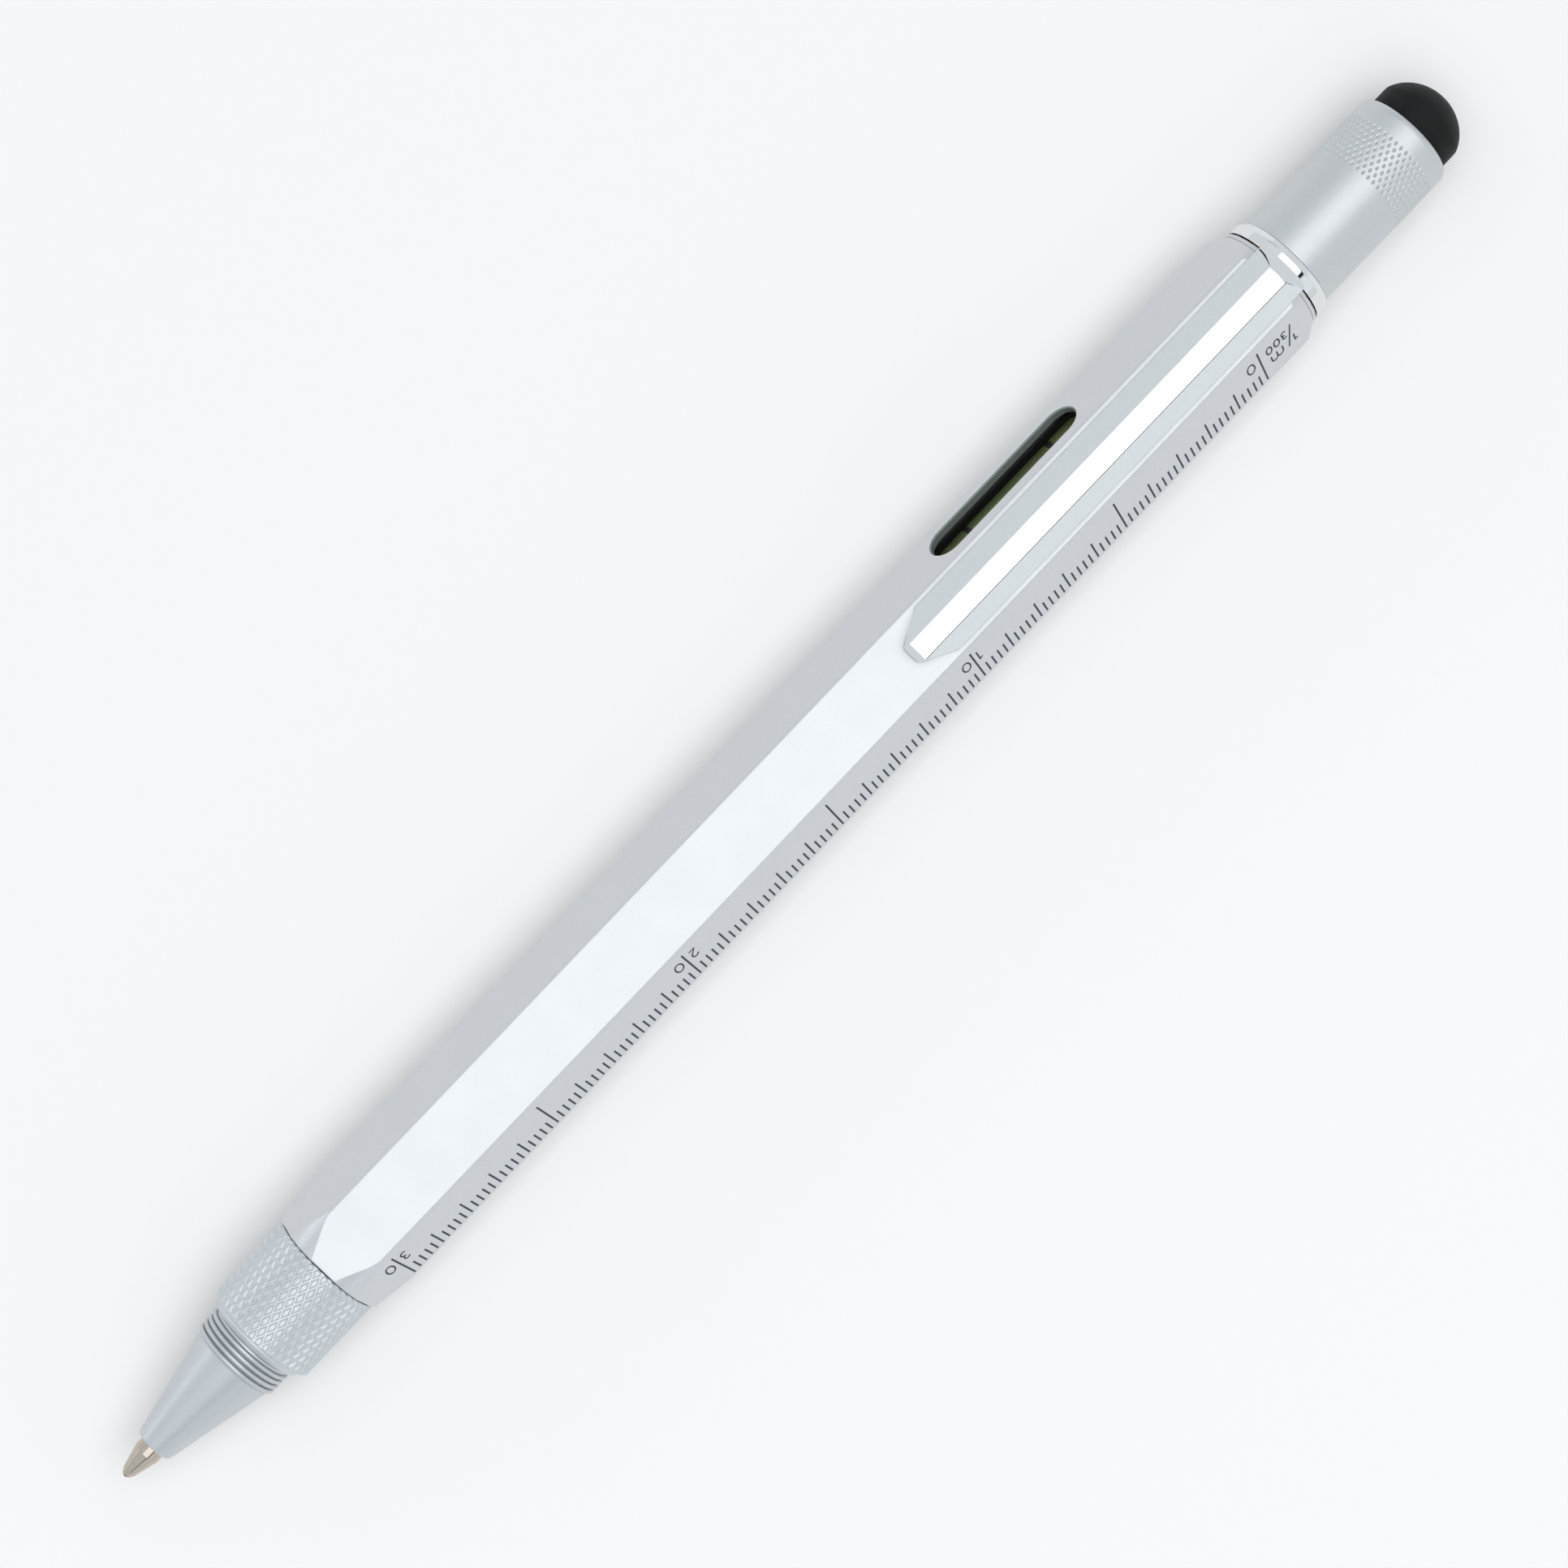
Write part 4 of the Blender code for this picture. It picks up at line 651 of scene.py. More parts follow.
def buildGrip():
    # Each cell of the knurled band has a middle point, so the grooves' edges run along mesh edges. The
    # radius is the plain one less depth times cut, and outside the band there is no cut.
    shape = SimpleNamespace(**gripShape)
    low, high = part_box("grip_sleeve")
    length = high.x + shape.rearReach - low.x
    bandStart = shape.chamfer
    bandEnd = length - shape.rearChamfer
    steps = int(round((bandEnd - bandStart) / shape.pitch * shape.perPitch))
    band = np.linspace(bandStart, bandEnd, steps + 1)
    slope = shape.chamfer / (shape.radius - shape.frontRadius)
    deep = shape.radius - shape.depth
    rest = softened([(length, shape.radius - shape.rearChamfer), (length, shape.bore),
                     (shape.lip, shape.bore), (shape.lip, shape.lipBore), (0, shape.lipBore),
                     (0, shape.frontRadius),
                     (shape.chamfer / 2, (shape.radius + shape.frontRadius) / 2)], shape.edge)
    along = np.concatenate([band, [bandEnd + shape.depth], rest[:, 0], [bandStart - shape.depth * slope]])
    radius = np.concatenate([np.full(len(band), shape.radius), [deep], rest[:, 1], [deep]])
    inBand = np.zeros(len(along))
    inBand[:len(band)] = 1
    nextInBand = np.roll(inBand, -1)
    bothInBand = inBand * nextInBand
    columns = shape.count * shape.perPitch
    row, column = np.arange(len(along))[:, None], np.arange(columns)
    cuts = inBand[:, None] * diamondCuts(row, column, shape)
    middleCuts = bothInBand[:, None] * diamondCuts(row + 0.5, column + 0.5, shape)
    corners = radius[:, None] - shape.depth * cuts
    middles = (radius + np.roll(radius, -1))[:, None] / 2 - shape.depth * middleCuts
    edgeRows = (bothInBand == 0) & ((inBand > 0) | (nextInBand > 0))
    around = (corners + np.roll(corners, -1, axis=0)) / 2
    middles[edgeRows] = ((around + np.roll(around, -1, axis=1)) / 2)[edgeRows]
    nextAlong = (along + np.roll(along, -1)) / 2
    turn = fullTurn / columns
    angle = column * turn + math.radians(shape.turn)
    points = np.concatenate([aroundAxis(low.x + along, corners, angle),
                             aroundAxis(low.x + nextAlong, middles, angle + turn / 2)])
    mesh = arraysToMesh("knurledGrip", points.reshape(-1, 3), crossedFaces(len(along), columns))
    return addPiece("knurledGrip", mesh, "satinGrip", "grip_body", ["grip_sleeve"], crease=20)


noseShape = {
    "front": 0.00028, "tip": 0.00158, "tipChamfer": 0.0001, "shoulder": 0.00168, "coneEnd": 0.00368,
    "length": 0.0119, "ribs": 4, "ribPitch": 0.000508, "ribsEnd": 0.0117, "ribRadius": 0.00399,
    "ribRoot": 0.00373, "ribWidth": 0.44, "coneToRibs": 0.00008, "guide": 0.00123, "guideLength": 0.0012,
    "bore": 0.0015, "rearBore": 0.0021, "rearBoreStart": 0.0068, "spigot": 0.00302, "edge": 0.00004,
    "around": 160, "ribRows": 17,
}


def buildNose():
    # A cone and a row of round beads: x = m + w p sin t and r = root + h cos t over each pitch p
    shape = SimpleNamespace(**noseShape)
    low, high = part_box("nose_cone")
    end = high.x - low.x
    pitch = shape.ribPitch
    ribsStart = shape.ribsEnd - shape.ribs * pitch
    front = [(shape.front, shape.guide), (shape.front, shape.tip),
             (shape.front + shape.tipChamfer, shape.shoulder), (ribsStart - shape.coneToRibs, shape.coneEnd),
             (ribsStart - shape.coneToRibs / 2, shape.ribRoot)]
    turn = np.linspace(-math.pi / 2, math.pi / 2, shape.ribRows)
    ribAlong = ribsStart + (np.arange(shape.ribs)[:, None] + 0.5 + shape.ribWidth * np.sin(turn)) * pitch
    ribRadius = shape.ribRoot + (shape.ribRadius - shape.ribRoot) * np.cos(turn)
    ribs = pairs(ribAlong, ribRadius).reshape(-1, 2)
    back = [(shape.length, shape.ribRoot), (shape.length, shape.spigot), (end, shape.spigot),
            (end, shape.rearBore), (shape.rearBoreStart, shape.rearBore), (shape.rearBoreStart, shape.bore),
            (shape.guideLength, shape.bore), (shape.guideLength, shape.guide)]
    outline = softened(np.concatenate([front, ribs, back]), shape.edge)
    points = swept(outline, evenAngles(shape.around), low.x)
    return addGrid("noseCone", points, "turnedNose", "grip_body", ["nose_cone"])


knurledGrip = buildGrip()
noseCone = buildNose()
print("grip and nose built:", len(knurledGrip.data.polygons), "and", len(noseCone.data.polygons), "faces")


# Refill point and ball

pointShape = {
    "radius": 0.00114, "cone": 0.00256, "nozzle": 0.00056, "nozzleRadius": 0.00061, "body": 0.0095,
    "tail": 0.0025, "tailRadius": 0.000915, "channel": 0.00022, "ball": 0.00035, "gap": 0.00003,
    "cupAngle": 120, "cupRows": 9, "lip": 0.000042, "lipFlare": (0.00012, 0.0001), "edge": 0.00002,
    "around": 72, "ballAround": 48, "ballRows": 25,
}


def buildPoint():
    # The cup is an arc of the socket's radius round the ball's centre, and the ball a half circle
    shape = SimpleNamespace(**pointShape)
    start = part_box("writing_ball")[0].x
    socket = shape.ball + shape.gap
    turn = np.linspace(math.asin(shape.channel / socket), math.radians(shape.cupAngle), shape.cupRows)
    cup = arc((shape.ball, 0), socket, turn)
    lipAlong, lipRadius = cup[-1]
    outside = [(lipAlong, lipRadius + shape.lip),
               (lipAlong + shape.lipFlare[0], lipRadius + shape.lipFlare[1]),
               (shape.nozzle, shape.nozzleRadius), (shape.cone, shape.radius),
               (shape.body, shape.radius), (shape.body, shape.tailRadius),
               (shape.body + shape.tail, shape.tailRadius), (shape.body + shape.tail, shape.channel)]
    profile = np.concatenate([outside, cup]) + (start, 0)
    turnedPiece("refillPoint", profile, "nickelSilver", "refill_body", ["refill_tip"],
                around=shape.around, edge=shape.edge, crease=12)
    half = np.linspace(math.pi, 0, shape.ballRows)
    ball = arc((start + shape.ball, 0), shape.ball, half)
    ball[0, 1] = ball[-1, 1] = 0
    points = swept(ball, evenAngles(shape.ballAround))
    # near black ball: painted shade of the point's mouth
    addGrid("pointBall", points, "ballBlackAsShade", "refill_body", ["writing_ball"], loopRows=False)


buildPoint()
print("refill point built")


# Spirit level

levelShape = {
    "radius": 0.00395, "cavity": 0.0032, "endWall": 0.001, "liquid": 0.00316, "bubbleLength": 0.0084,
    "bubbleWidth": 0.0042, "bubbleDepth": 0.0012, "ringFromMiddle": 0.00477, "ringWidth": 0.0005,
    "ringGap": 0.000004, "ringThick": 0.00001, "ringEdge": 0.000003, "edge": 0.00015,
    "around": 128, "liquidRows": 97,
}


def buildLevel():
    # The vial is a tube with one end wall; two thin rings round it mark the bubble's place
    shape = SimpleNamespace(**levelShape)
    low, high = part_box("level_vial")
    floor = low.x + shape.endWall
    profile = [(low.x, 0), (low.x, shape.radius), (high.x, shape.radius), (high.x, shape.cavity),
               (floor, shape.cavity), (floor, 0)]
    turnedPiece("levelVial", profile, "vialAcrylic", "barrel_body", ["level_vial"],
                around=shape.around, edge=shape.edge)
    middle = (low.x + high.x) / 2
    inner = shape.radius + shape.ringGap
    outer = inner + shape.ringThick
    for side, name in ((-1, "vialRingFront"), (1, "vialRingRear")):
        first = middle + side * shape.ringFromMiddle - shape.ringWidth / 2
        last = first + shape.ringWidth
        turnedPiece(name, tubeWall(first, last, inner, outer), "blackLiner", "barrel_body",
                    around=shape.around, edge=shape.ringEdge)


def buildLiquid():
    # A cylinder with a dent on top where the bubble floats: the dent's depth is d sqrt(1 - u^2 - v^2)
    shape = SimpleNamespace(**levelShape)
    low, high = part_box("vial_liquid")
    along = np.concatenate([[low.x], np.linspace(low.x, high.x, shape.liquidRows), [high.x]])
    angle = evenAngles(shape.around)
    across = shape.liquid * np.where(np.cos(angle) > 0, np.sin(angle), np.inf)    # no dent below the axis
    u = (along[:, None] - (low.x + high.x) / 2) / (shape.bubbleLength / 2)
    v = across / (shape.bubbleWidth / 2)
    dent = shape.bubbleDepth * np.sqrt(np.maximum(1 - u ** 2 - v ** 2, 0))
    radius = shape.liquid - dent
    radius[0] = radius[-1] = 0
    points = aroundAxis(along, radius, angle)
    addGrid("levelLiquid", points, "greenLiquid", "barrel_body", ["vial_liquid"],
            loopRows=False)


buildLevel()
buildLiquid()
print("spirit level built")


# Clip and its ring

ringShape = {
    "radius": 0.00496, "bevelStart": 0.00106, "rearRadius": 0.00458, "bore": 0.00351, "frontShift": 0.0002,
    "rearReach": 0.00004, "edge": 0.00006,
}
clipShape = {
    "top": 0.00665, "facetDrop": 0.00088, "flatHalf": 0.00089, "ridgeShift": 0.00012, "half": 0.00242,
    "under": 0.00548, "endHalf": 0.00083, "endBevel": 0.0005, "endCorner": (0.0002, 0.0003),
    "rounding": 0.0032, "roundingBend": (0.82, 0.95), "rearShift": -0.00008, "shoulder": 0.00124,
    "fall": 0.62, "foot": 0.00036, "footEdge": 0.00006, "footCorner": 0.0005, "seat": 0.00502,
    "edge": 0.000015, "beadFromEnd": 0.0019, "beadLength": 0.0022, "beadLow": 0.00506, "soft": 0.00004,
    "softLow": 0.00013, "softEnd": 0.00013, "thinnest": 0.000001,
    # Rows of points in each part along, and where they lie across: near a ridge and near the edge
    "rows": (13, 69, 25, 111), "rearPart": 0.0019, "nearRidge": 0.00019, "besideRidge": (-0.00024, 0.0003),
    "besideEdge": 0.0002, "nearEdge": (0.0001, 0.00005, 0.00002, 0),
}


def buildRing():
    # A band with its rear end bevelled down to a smaller radius
    shape = SimpleNamespace(**ringShape)
    low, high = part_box("clip_ring")
    front = low.x + shape.frontShift
    rear = high.x + shape.rearReach
    profile = [(front, shape.bore), (front, shape.radius), (low.x + shape.bevelStart, shape.radius),
               (rear, shape.rearRadius), (rear, shape.bore)]
    turnedPiece("clipRing", profile, "mirrorChrome", "barrel_body", ["clip_ring"],
                around=160, edge=shape.edge)


def lesser(first, second, soft):
    # The smaller of two heights, with the crease between them rounded by a short blend
    gap = np.clip(0.5 + 0.5 * (second - first) / soft, 0, 1)
    return second + (first - second) * gap - soft * gap * (1 - gap)


def cornerCut(into, reach):
    # How far a round corner has drawn in at 0 to 1 of the way into it: reach (1 - sqrt(1 - u^2))
    return reach * (1 - np.sqrt(np.maximum(1 - np.clip(into, 0, 1) ** 2, 0)))


def buildClip():
    # Rows run along the clip and columns round its section: under, side, facet, ridge, facet, side.
    # The top is the smallest of the ridge, the facets, the end's bevel and the turned shoulder, a cone
    # round the pen's axis.
    shape = SimpleNamespace(**clipShape)
    low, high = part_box("clip_arm")
    length = high.x + shape.rearShift - low.x
    stops = (0, shape.endCorner[0], shape.rounding, length - shape.rearPart, length)
    parts = [np.linspace(first, last, count) for first, last, count in zip(stops, stops[1:], shape.rows)]
    along = np.concatenate(parts[:1] + [part[1:] for part in parts[1:]])
    share = np.linspace(0, 1, 400)
    bend = 2 * share * (1 - share)
    curveAlong = bend * shape.roundingBend[0] * shape.rounding + share ** 2 * shape.rounding
    curveHalf = (1 - share) ** 2 * shape.endHalf + bend * shape.roundingBend[1] * shape.half
    curveHalf = curveHalf + share ** 2 * shape.half
    half = np.interp(along, curveAlong, curveHalf)
    half = half - cornerCut(1 - along / shape.endCorner[0], shape.endCorner[1])
    half = half - cornerCut((along - (length - shape.footCorner)) / shape.footCorner, shape.footCorner)
    near = np.linspace(-shape.nearRidge, shape.nearRidge, 15)
    sides = []
    for turned in (-1, 1):
        ridge = shape.flatHalf - turned * shape.ridgeShift
        facet = np.linspace(ridge + shape.besideRidge[1], shape.half - shape.besideEdge, 7)
        sides.append(np.concatenate([np.linspace(0, ridge + shape.besideRidge[0], 5), ridge + near, facet,
                                     shape.half - np.array(shape.nearEdge)]))
    level = np.concatenate([-sides[0][::-1], sides[1][1:]])
    half = half[:, None]
    ridge = shape.flatHalf - np.sign(level) * shape.ridgeShift
    across = np.sign(level) * np.minimum(np.abs(level), half)
    slope = shape.facetDrop / (shape.half - ridge)
    crease = np.where(level < 0, shape.softLow, shape.soft)
    roof = lesser(shape.top, shape.top - (np.abs(across) - ridge) * slope, crease)
    roof = lesser(roof, shape.top - shape.endBevel + along[:, None], shape.soft)
    edgeHeight = shape.top - (half - ridge).clip(0) * slope - shape.edge
    roof = np.minimum(roof, edgeHeight + (half - np.abs(across)))
    cone = math.hypot(shape.top, shape.flatHalf) - (along - (length - shape.shoulder)) * shape.fall
    turned = np.sqrt(np.maximum(cone[:, None] ** 2 - across ** 2, 0))
    roof = lesser(roof, turned, shape.softEnd)
    onRing = np.sqrt(np.maximum(shape.seat ** 2 - across ** 2, 0))
    bump = (along - shape.beadFromEnd) / (shape.beadLength / 2)
    under = shape.under - (shape.under - shape.beadLow) * np.sqrt(np.maximum(1 - bump ** 2, 0))
    overRing = along > length - shape.foot - shape.footEdge
    floor = np.minimum(np.where(overRing[:, None], onRing, under[:, None]), roof - shape.thinnest)
    x = np.broadcast_to(along[:, None], across.shape) + low.x
    upper = np.stack([x, across, roof + axisHeight], axis=-1)
    lower = np.stack([x, across, floor + axisHeight], axis=-1)[:, ::-1]
    points = withEnds(np.concatenate([upper, lower], axis=1))
    return addGrid("pocketClip", points, "mirrorChrome", "clip_body", ["clip_arm"],
                   loopRows=False, crease=24)


buildRing()
pocketClip = buildClip()
print("clip built:", len(pocketClip.data.polygons), "faces")


# Bit holder, nut and bit

holderShape = {
    "radius": 0.00439, "frontChamfer": 0.0002, "spigot": 0.00345, "spigotLength": 0.0065, "chamfer": 0.0003,
    "socketDepth": 0.0116, "socketFlats": 0.00414, "socketCorner": 0.00015, "socketMouth": 0.00015,
    "tipBore": 0.00168, "magnetBore": 0.00206, "magnetEnd": 0.00314, "threadStart": 0.0030,
    "threadRow": 0.00005, "threadRunIn": 0.0004, "threadEnd": 0.00005, "threadPitch": 0.00075,
    "threadDepth": 0.00022, "threadSlope": 2.6, "threadCrest": 0.3, "around": 144,
}
nutShape = {"bore": 0.00351, "radius": 0.00395, "edge": 0.00012}


def threadCut(along, angle):
    # Depth of a single-start thread: a triangle wave of x / p - a / 2 pi, 0 on the crests
    phase = (along / holderShape["threadPitch"] - angle / fullTurn) % 1
    return np.clip(np.abs(phase - 0.5) * holderShape["threadSlope"] - holderShape["threadCrest"], 0, 1)


def buildHolder():
    # Outside: plug and threaded spigot. Inside: hexagonal socket, room for the bit's end, magnet pocket.
    shape = SimpleNamespace(**holderShape)
    low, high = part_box("bit_holder")
    length = high.x - low.x
    shoulder = length - shape.spigotLength
    socketStart = length - shape.socketDepth
    angle = evenAngles(shape.around)
    threadRows = np.arange(shoulder + shape.threadStart, length - shape.chamfer, shape.threadRow)
    thread = pairs(threadRows, shape.spigot)
    plug = [(0, shape.radius - shape.frontChamfer), (shape.frontChamfer, shape.radius),
            (shoulder, shape.radius), (shoulder, shape.spigot)]
    end = [(length - shape.chamfer, shape.spigot - shape.threadEnd), (length, shape.spigot - shape.chamfer)]
    outside = np.concatenate([plug, thread, end])
    depth = np.zeros((len(outside), 1))
    depth[len(plug):-len(end), 0] = np.clip((threadRows - threadRows[0]) / shape.threadRunIn, 0, 1)
    cuts = shape.threadDepth * depth * threadCut(outside[:, 0, None], angle)
    hexagon = roundedHex(angle, shape.socketFlats, shape.socketCorner)
    same = np.ones_like(angle)
    tip, magnet = shape.tipBore * same, shape.magnetBore * same
    inside = [(length, hexagon + shape.socketMouth), (length - shape.socketMouth, hexagon),
              (socketStart, hexagon), (socketStart, tip), (shape.magnetEnd, tip), (shape.magnetEnd, magnet),
              (0, magnet)]
    along = np.concatenate([outside[:, 0], [place for place, _ in inside]])
    radius = np.concatenate([outside[:, 1, None] - cuts, np.stack([line for _, line in inside])])
    points = aroundAxis(low.x + along, radius, angle)
    addGrid("bitHolder", points, "turnedBrass", "barrel_body", ["bit_holder"], crease=40)


def buildNut():
    # A plain ring on the bit holder, behind the clip's ring that it clamps
    shape = SimpleNamespace(**nutShape)
    low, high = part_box("ring_nut")
    turnedPiece("ringNut", tubeWall(low.x, high.x, shape.bore, shape.radius), "turnedBrass", "barrel_body",
                ["ring_nut"], edge=shape.edge)


bitShape = {
    "flats": 0.004, "corner": 0.00015, "tip": 0.0051, "tipRadius": 0.0015, "chamfer": 0.0005, "blade": 0.0005,
    "bladeLength": 0.0036, "crossPoint": 0.0004, "crossLength": 0.0014, "flute": 0.0032, "fluteRoot": 0.0004,
    "pastFlute": 0.0002, "around": 192, "bladeRows": 19, "crossRows": 27,
}


def buildBit():
    # The radius at an angle is the smallest of the round tip's, the blade's t / |cos a| and the
    # flutes' f / (cos d - |sin d|), and in the middle of the hexagon's and the chamfer cone's
    shape = SimpleNamespace(**bitShape)
    low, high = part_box("screwdriver_bit")
    length = high.x - low.x
    angle = evenAngles(shape.around)
    hexagon = roundedHex(angle, shape.flats, shape.corner)
    same = np.ones_like(angle)
    bladeRows = np.linspace(0, shape.bladeLength, shape.bladeRows)
    rise = shape.blade / 2 + bladeRows * (shape.tipRadius - shape.blade / 2) / shape.bladeLength
    blade = np.minimum(shape.tipRadius, rise[:, None] / np.maximum(np.abs(np.cos(angle)), 1e-6))
    cone = np.array([0, 0.2, 0.4, 0.6, 0.8, 1.0]) * shape.chamfer * 2
    hexFront = np.minimum(hexagon, hexagon.max() - shape.chamfer + cone[:, None] / 2)
    crossRows = np.linspace(shape.flute + shape.pastFlute, 0, shape.crossRows)
    point = shape.crossPoint + crossRows * (shape.tipRadius - shape.crossPoint) / shape.crossLength
    outer = np.minimum(shape.tipRadius, point)
    root = shape.fluteRoot + crossRows * (shape.tipRadius - shape.fluteRoot) / shape.flute
    toFlute = np.abs((angle % (math.pi / 2)) - math.pi / 4)
    opening = np.maximum(np.cos(toFlute) - np.sin(toFlute), 1e-3)
    cross = np.minimum(outer[:, None], root[:, None] / opening)
    along = np.concatenate([[0], bladeRows, [shape.tip], shape.tip + cone, length - shape.tip - cone[::-1],
                            [length - shape.tip], length - crossRows, [length]])
    radius = np.concatenate([0 * blade[:1], blade, shape.tipRadius * same[None], hexFront, hexFront[::-1],
                             shape.tipRadius * same[None], cross, 0 * cross[:1]])
    points = aroundAxis(low.x + along, radius, angle)
    addGrid("driverBit", points, "blackenedSteel", "bit_body", ["screwdriver_bit"],
            loopRows=False, crease=30)


buildHolder()
buildNut()
buildBit()
print("bit and holder built")


# Cap and stylus

capShape = {
    "radius": 0.00452, "endRadius": 0.00397, "endRounding": 0.0007, "counterbore": 0.00404,
    "counterboreLength": 0.0011, "mouthChamfer": 0.0001, "threadBore": 0.00354, "threadLength": 0.0052,
    "threadRow": 0.000075, "threadDepth": 0.0002, "threadMargin": 0.0001, "bitBore": 0.0029,
    "endWall": 0.0024, "endSunk": 0.00001, "endFlat": 0.0003, "stemBore": 0.00156, "edge": 0.00005,
    "innerEdge": 0.00004,
    "bandFromFront": 0.00862, "columns": 8, "columnStep": 0.000504, "columnRows": 6, "around": 48,
    "angleSteps": 10, "dimple": 0.00013, "dimpleLong": 0.00024, "dimpleWide": 0.00016, "flatShare": 0.25,
    "bandMargin": 2,    # plain rows on each side of the band keep the wall smooth
}


def dimples(along, angle, shape):
    # Diamond-shaped pits on two shifted lattices: deepest on a small flat and 0 from |x| / a + |s| / b = 1
    step = shape.columnStep
    turn = angle * shape.around / fullTurn
    pits = 0
    for shift in (0, 1):
        dx = (along - shift * step + step) % (2 * step) - step
        ds = ((turn + 0.5 * shift + 0.5) % 1 - 0.5) * fullTurn * shape.radius / shape.around
        pit = 1 - np.abs(dx) / shape.dimpleLong - np.abs(ds) / shape.dimpleWide
        pits = np.maximum(pits, np.clip(pit, 0, 1))
    inside = (along > -step / 2) & (along < (shape.columns - 0.5) * step)
    return np.minimum(pits / (1 - shape.flatShare), 1) * inside


def buildCap():
    # The outline is a front, the dimpled band, a quarter-round end, the bore, its thread and the mouth.
    # The radius is the outline's less the dimples on the band and plus the grooves on the thread.
    shape = SimpleNamespace(**capShape)
    low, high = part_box("stylus_cap")
    length = high.x - low.x
    bandStart = shape.bandFromFront - shape.columnStep / 2
    bandEnd = bandStart + shape.columns * shape.columnStep
    turn = np.linspace(math.pi / 2, 0, 14)
    rounding = arc((length - shape.endRounding, shape.endRadius),
                   (shape.endRounding, shape.radius - shape.endRadius), turn)
    front = softened([(0, shape.counterbore), (0, shape.radius), (bandStart, shape.radius),
                      (bandStart, shape.counterbore)], shape.edge)
    front = front[front[:, 1] > shape.counterbore + 0.2 * shape.edge]
    front = front[front[:, 0] < bandStart - 6 * shape.edge]
    steps = shape.columns * shape.columnRows
    rows = np.arange(-shape.bandMargin, steps + shape.bandMargin + 1)
    band = pairs(bandStart + rows * ((bandEnd - bandStart) / steps), shape.radius)
    threadRows = np.arange(shape.threadLength - shape.threadMargin,
                           shape.counterboreLength + shape.threadMargin, -shape.threadRow)
    wall = length - shape.endWall
    end = length - shape.endSunk
    inner = softened([(end, shape.endRadius - shape.endFlat), (end, shape.stemBore), (wall, shape.stemBore),
                      (wall, shape.bitBore), (shape.threadLength, shape.bitBore),
                      (shape.threadLength, shape.threadBore)], shape.innerEdge)
    thread = pairs(threadRows, shape.threadBore)
    mouth = [(shape.counterboreLength, shape.threadBore), (shape.counterboreLength, shape.counterbore),
             (shape.mouthChamfer, shape.counterbore), (0, shape.counterbore + shape.mouthChamfer)]
    parts = [front, band, rounding, inner, thread, mouth]
    angle = evenAngles(shape.around * shape.angleSteps)
    depth = [np.zeros((len(part), len(angle))) for part in parts]
    depth[1] += shape.dimple * dimples(band[:, 0, None] - shape.bandFromFront, angle, shape)
    depth[4] -= shape.threadDepth * threadCut(threadRows[:, None], angle)
    outline = np.concatenate(parts)
    radius = outline[:, 1, None] - np.concatenate(depth)
    points = aroundAxis(low.x + outline[:, 0], radius, angle)
    return addGrid("stylusCap", points, "satinCap", "cap_body", ["stylus_cap"], crease=40)


stylusShape = {
    "radius": 0.00388, "ball": 0.0041, "ballLong": 0.00368, "ballFrom": 1.5, "blend": 0.00005, "wall": 0.0008,
    "flange": 0.0006, "stem": 0.00156, "mouthRound": (0.00012, 0.00004),
    "around": 128, "outRows": 48, "backRows": 36,
}


def buildStylus():
    # A straight wall and the end of a ball, hollow, with a flange at its mouth. Each row's radius is the
    # lesser of the wall's w and the ball's b: (w + b - the root of ((w - b)^2 + k^2)) / 2.
    shape = SimpleNamespace(**stylusShape)
    low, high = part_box("stylus_tip")
    length = high.x - low.x
    out = np.linspace(shape.ballFrom, 0, shape.outRows)
    ball = shape.ball * np.sin(out)
    both = shape.radius + ball - np.sqrt((shape.radius - ball) ** 2 + shape.blend ** 2)
    outside = pairs(length - shape.ballLong * (1 - np.cos(out)), np.maximum(both / 2, 0))
    outside[-1, 1] = 0
    back = np.linspace(0, math.pi / 2, shape.backRows)
    inside = arc((shape.flange, 0), (length - shape.wall - shape.flange, shape.radius - shape.wall), back)
    inside[0, 1] = 0
    big, small = shape.mouthRound
    mouth = [(shape.flange, shape.stem), (0, shape.stem), (0, shape.radius - big),
             (small, shape.radius - small), (big, shape.radius)]
    points = swept(np.concatenate([mouth, outside, inside]), evenAngles(shape.around), low.x)
    return addGrid("stylusDome", points, "stylusRubber", "cap_body", ["stylus_tip"])


stylusCap = buildCap()
buildStylus()
print("cap and stylus built:", len(stylusCap.data.polygons), "faces")


# The frame's own nodes

nodeLooks = {
    # the front bush and the twist spindle take brass darkened near black as painted shade
    "front_bush": "brassDarkAsShade", "guide_sleeve": "greyNylon", "vial_carrier": "blackLiner",
    "vial_plug": "blackLiner", "bit_magnet": "platedMagnet", "twist_spindle": "brassDarkAsShade",
    "cam_tube": "turnedBrass",
    "retaining_ring": "springSteel", "grip_o_ring": "stylusRubber", "refill_tube": "turnedBrass",
    "refill_ink": "inkPaste", "refill_carrier": "greyNylon", "carrier_pin": "springSteel",
    "stylus_core": "satinCap",
}
for node, look in nodeLooks.items():
    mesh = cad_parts[node].data
    mesh.materials.clear()
    mesh.materials.append(looks[look])
print("frame nodes finished:", len(nodeLooks))


# Floor, light and camera

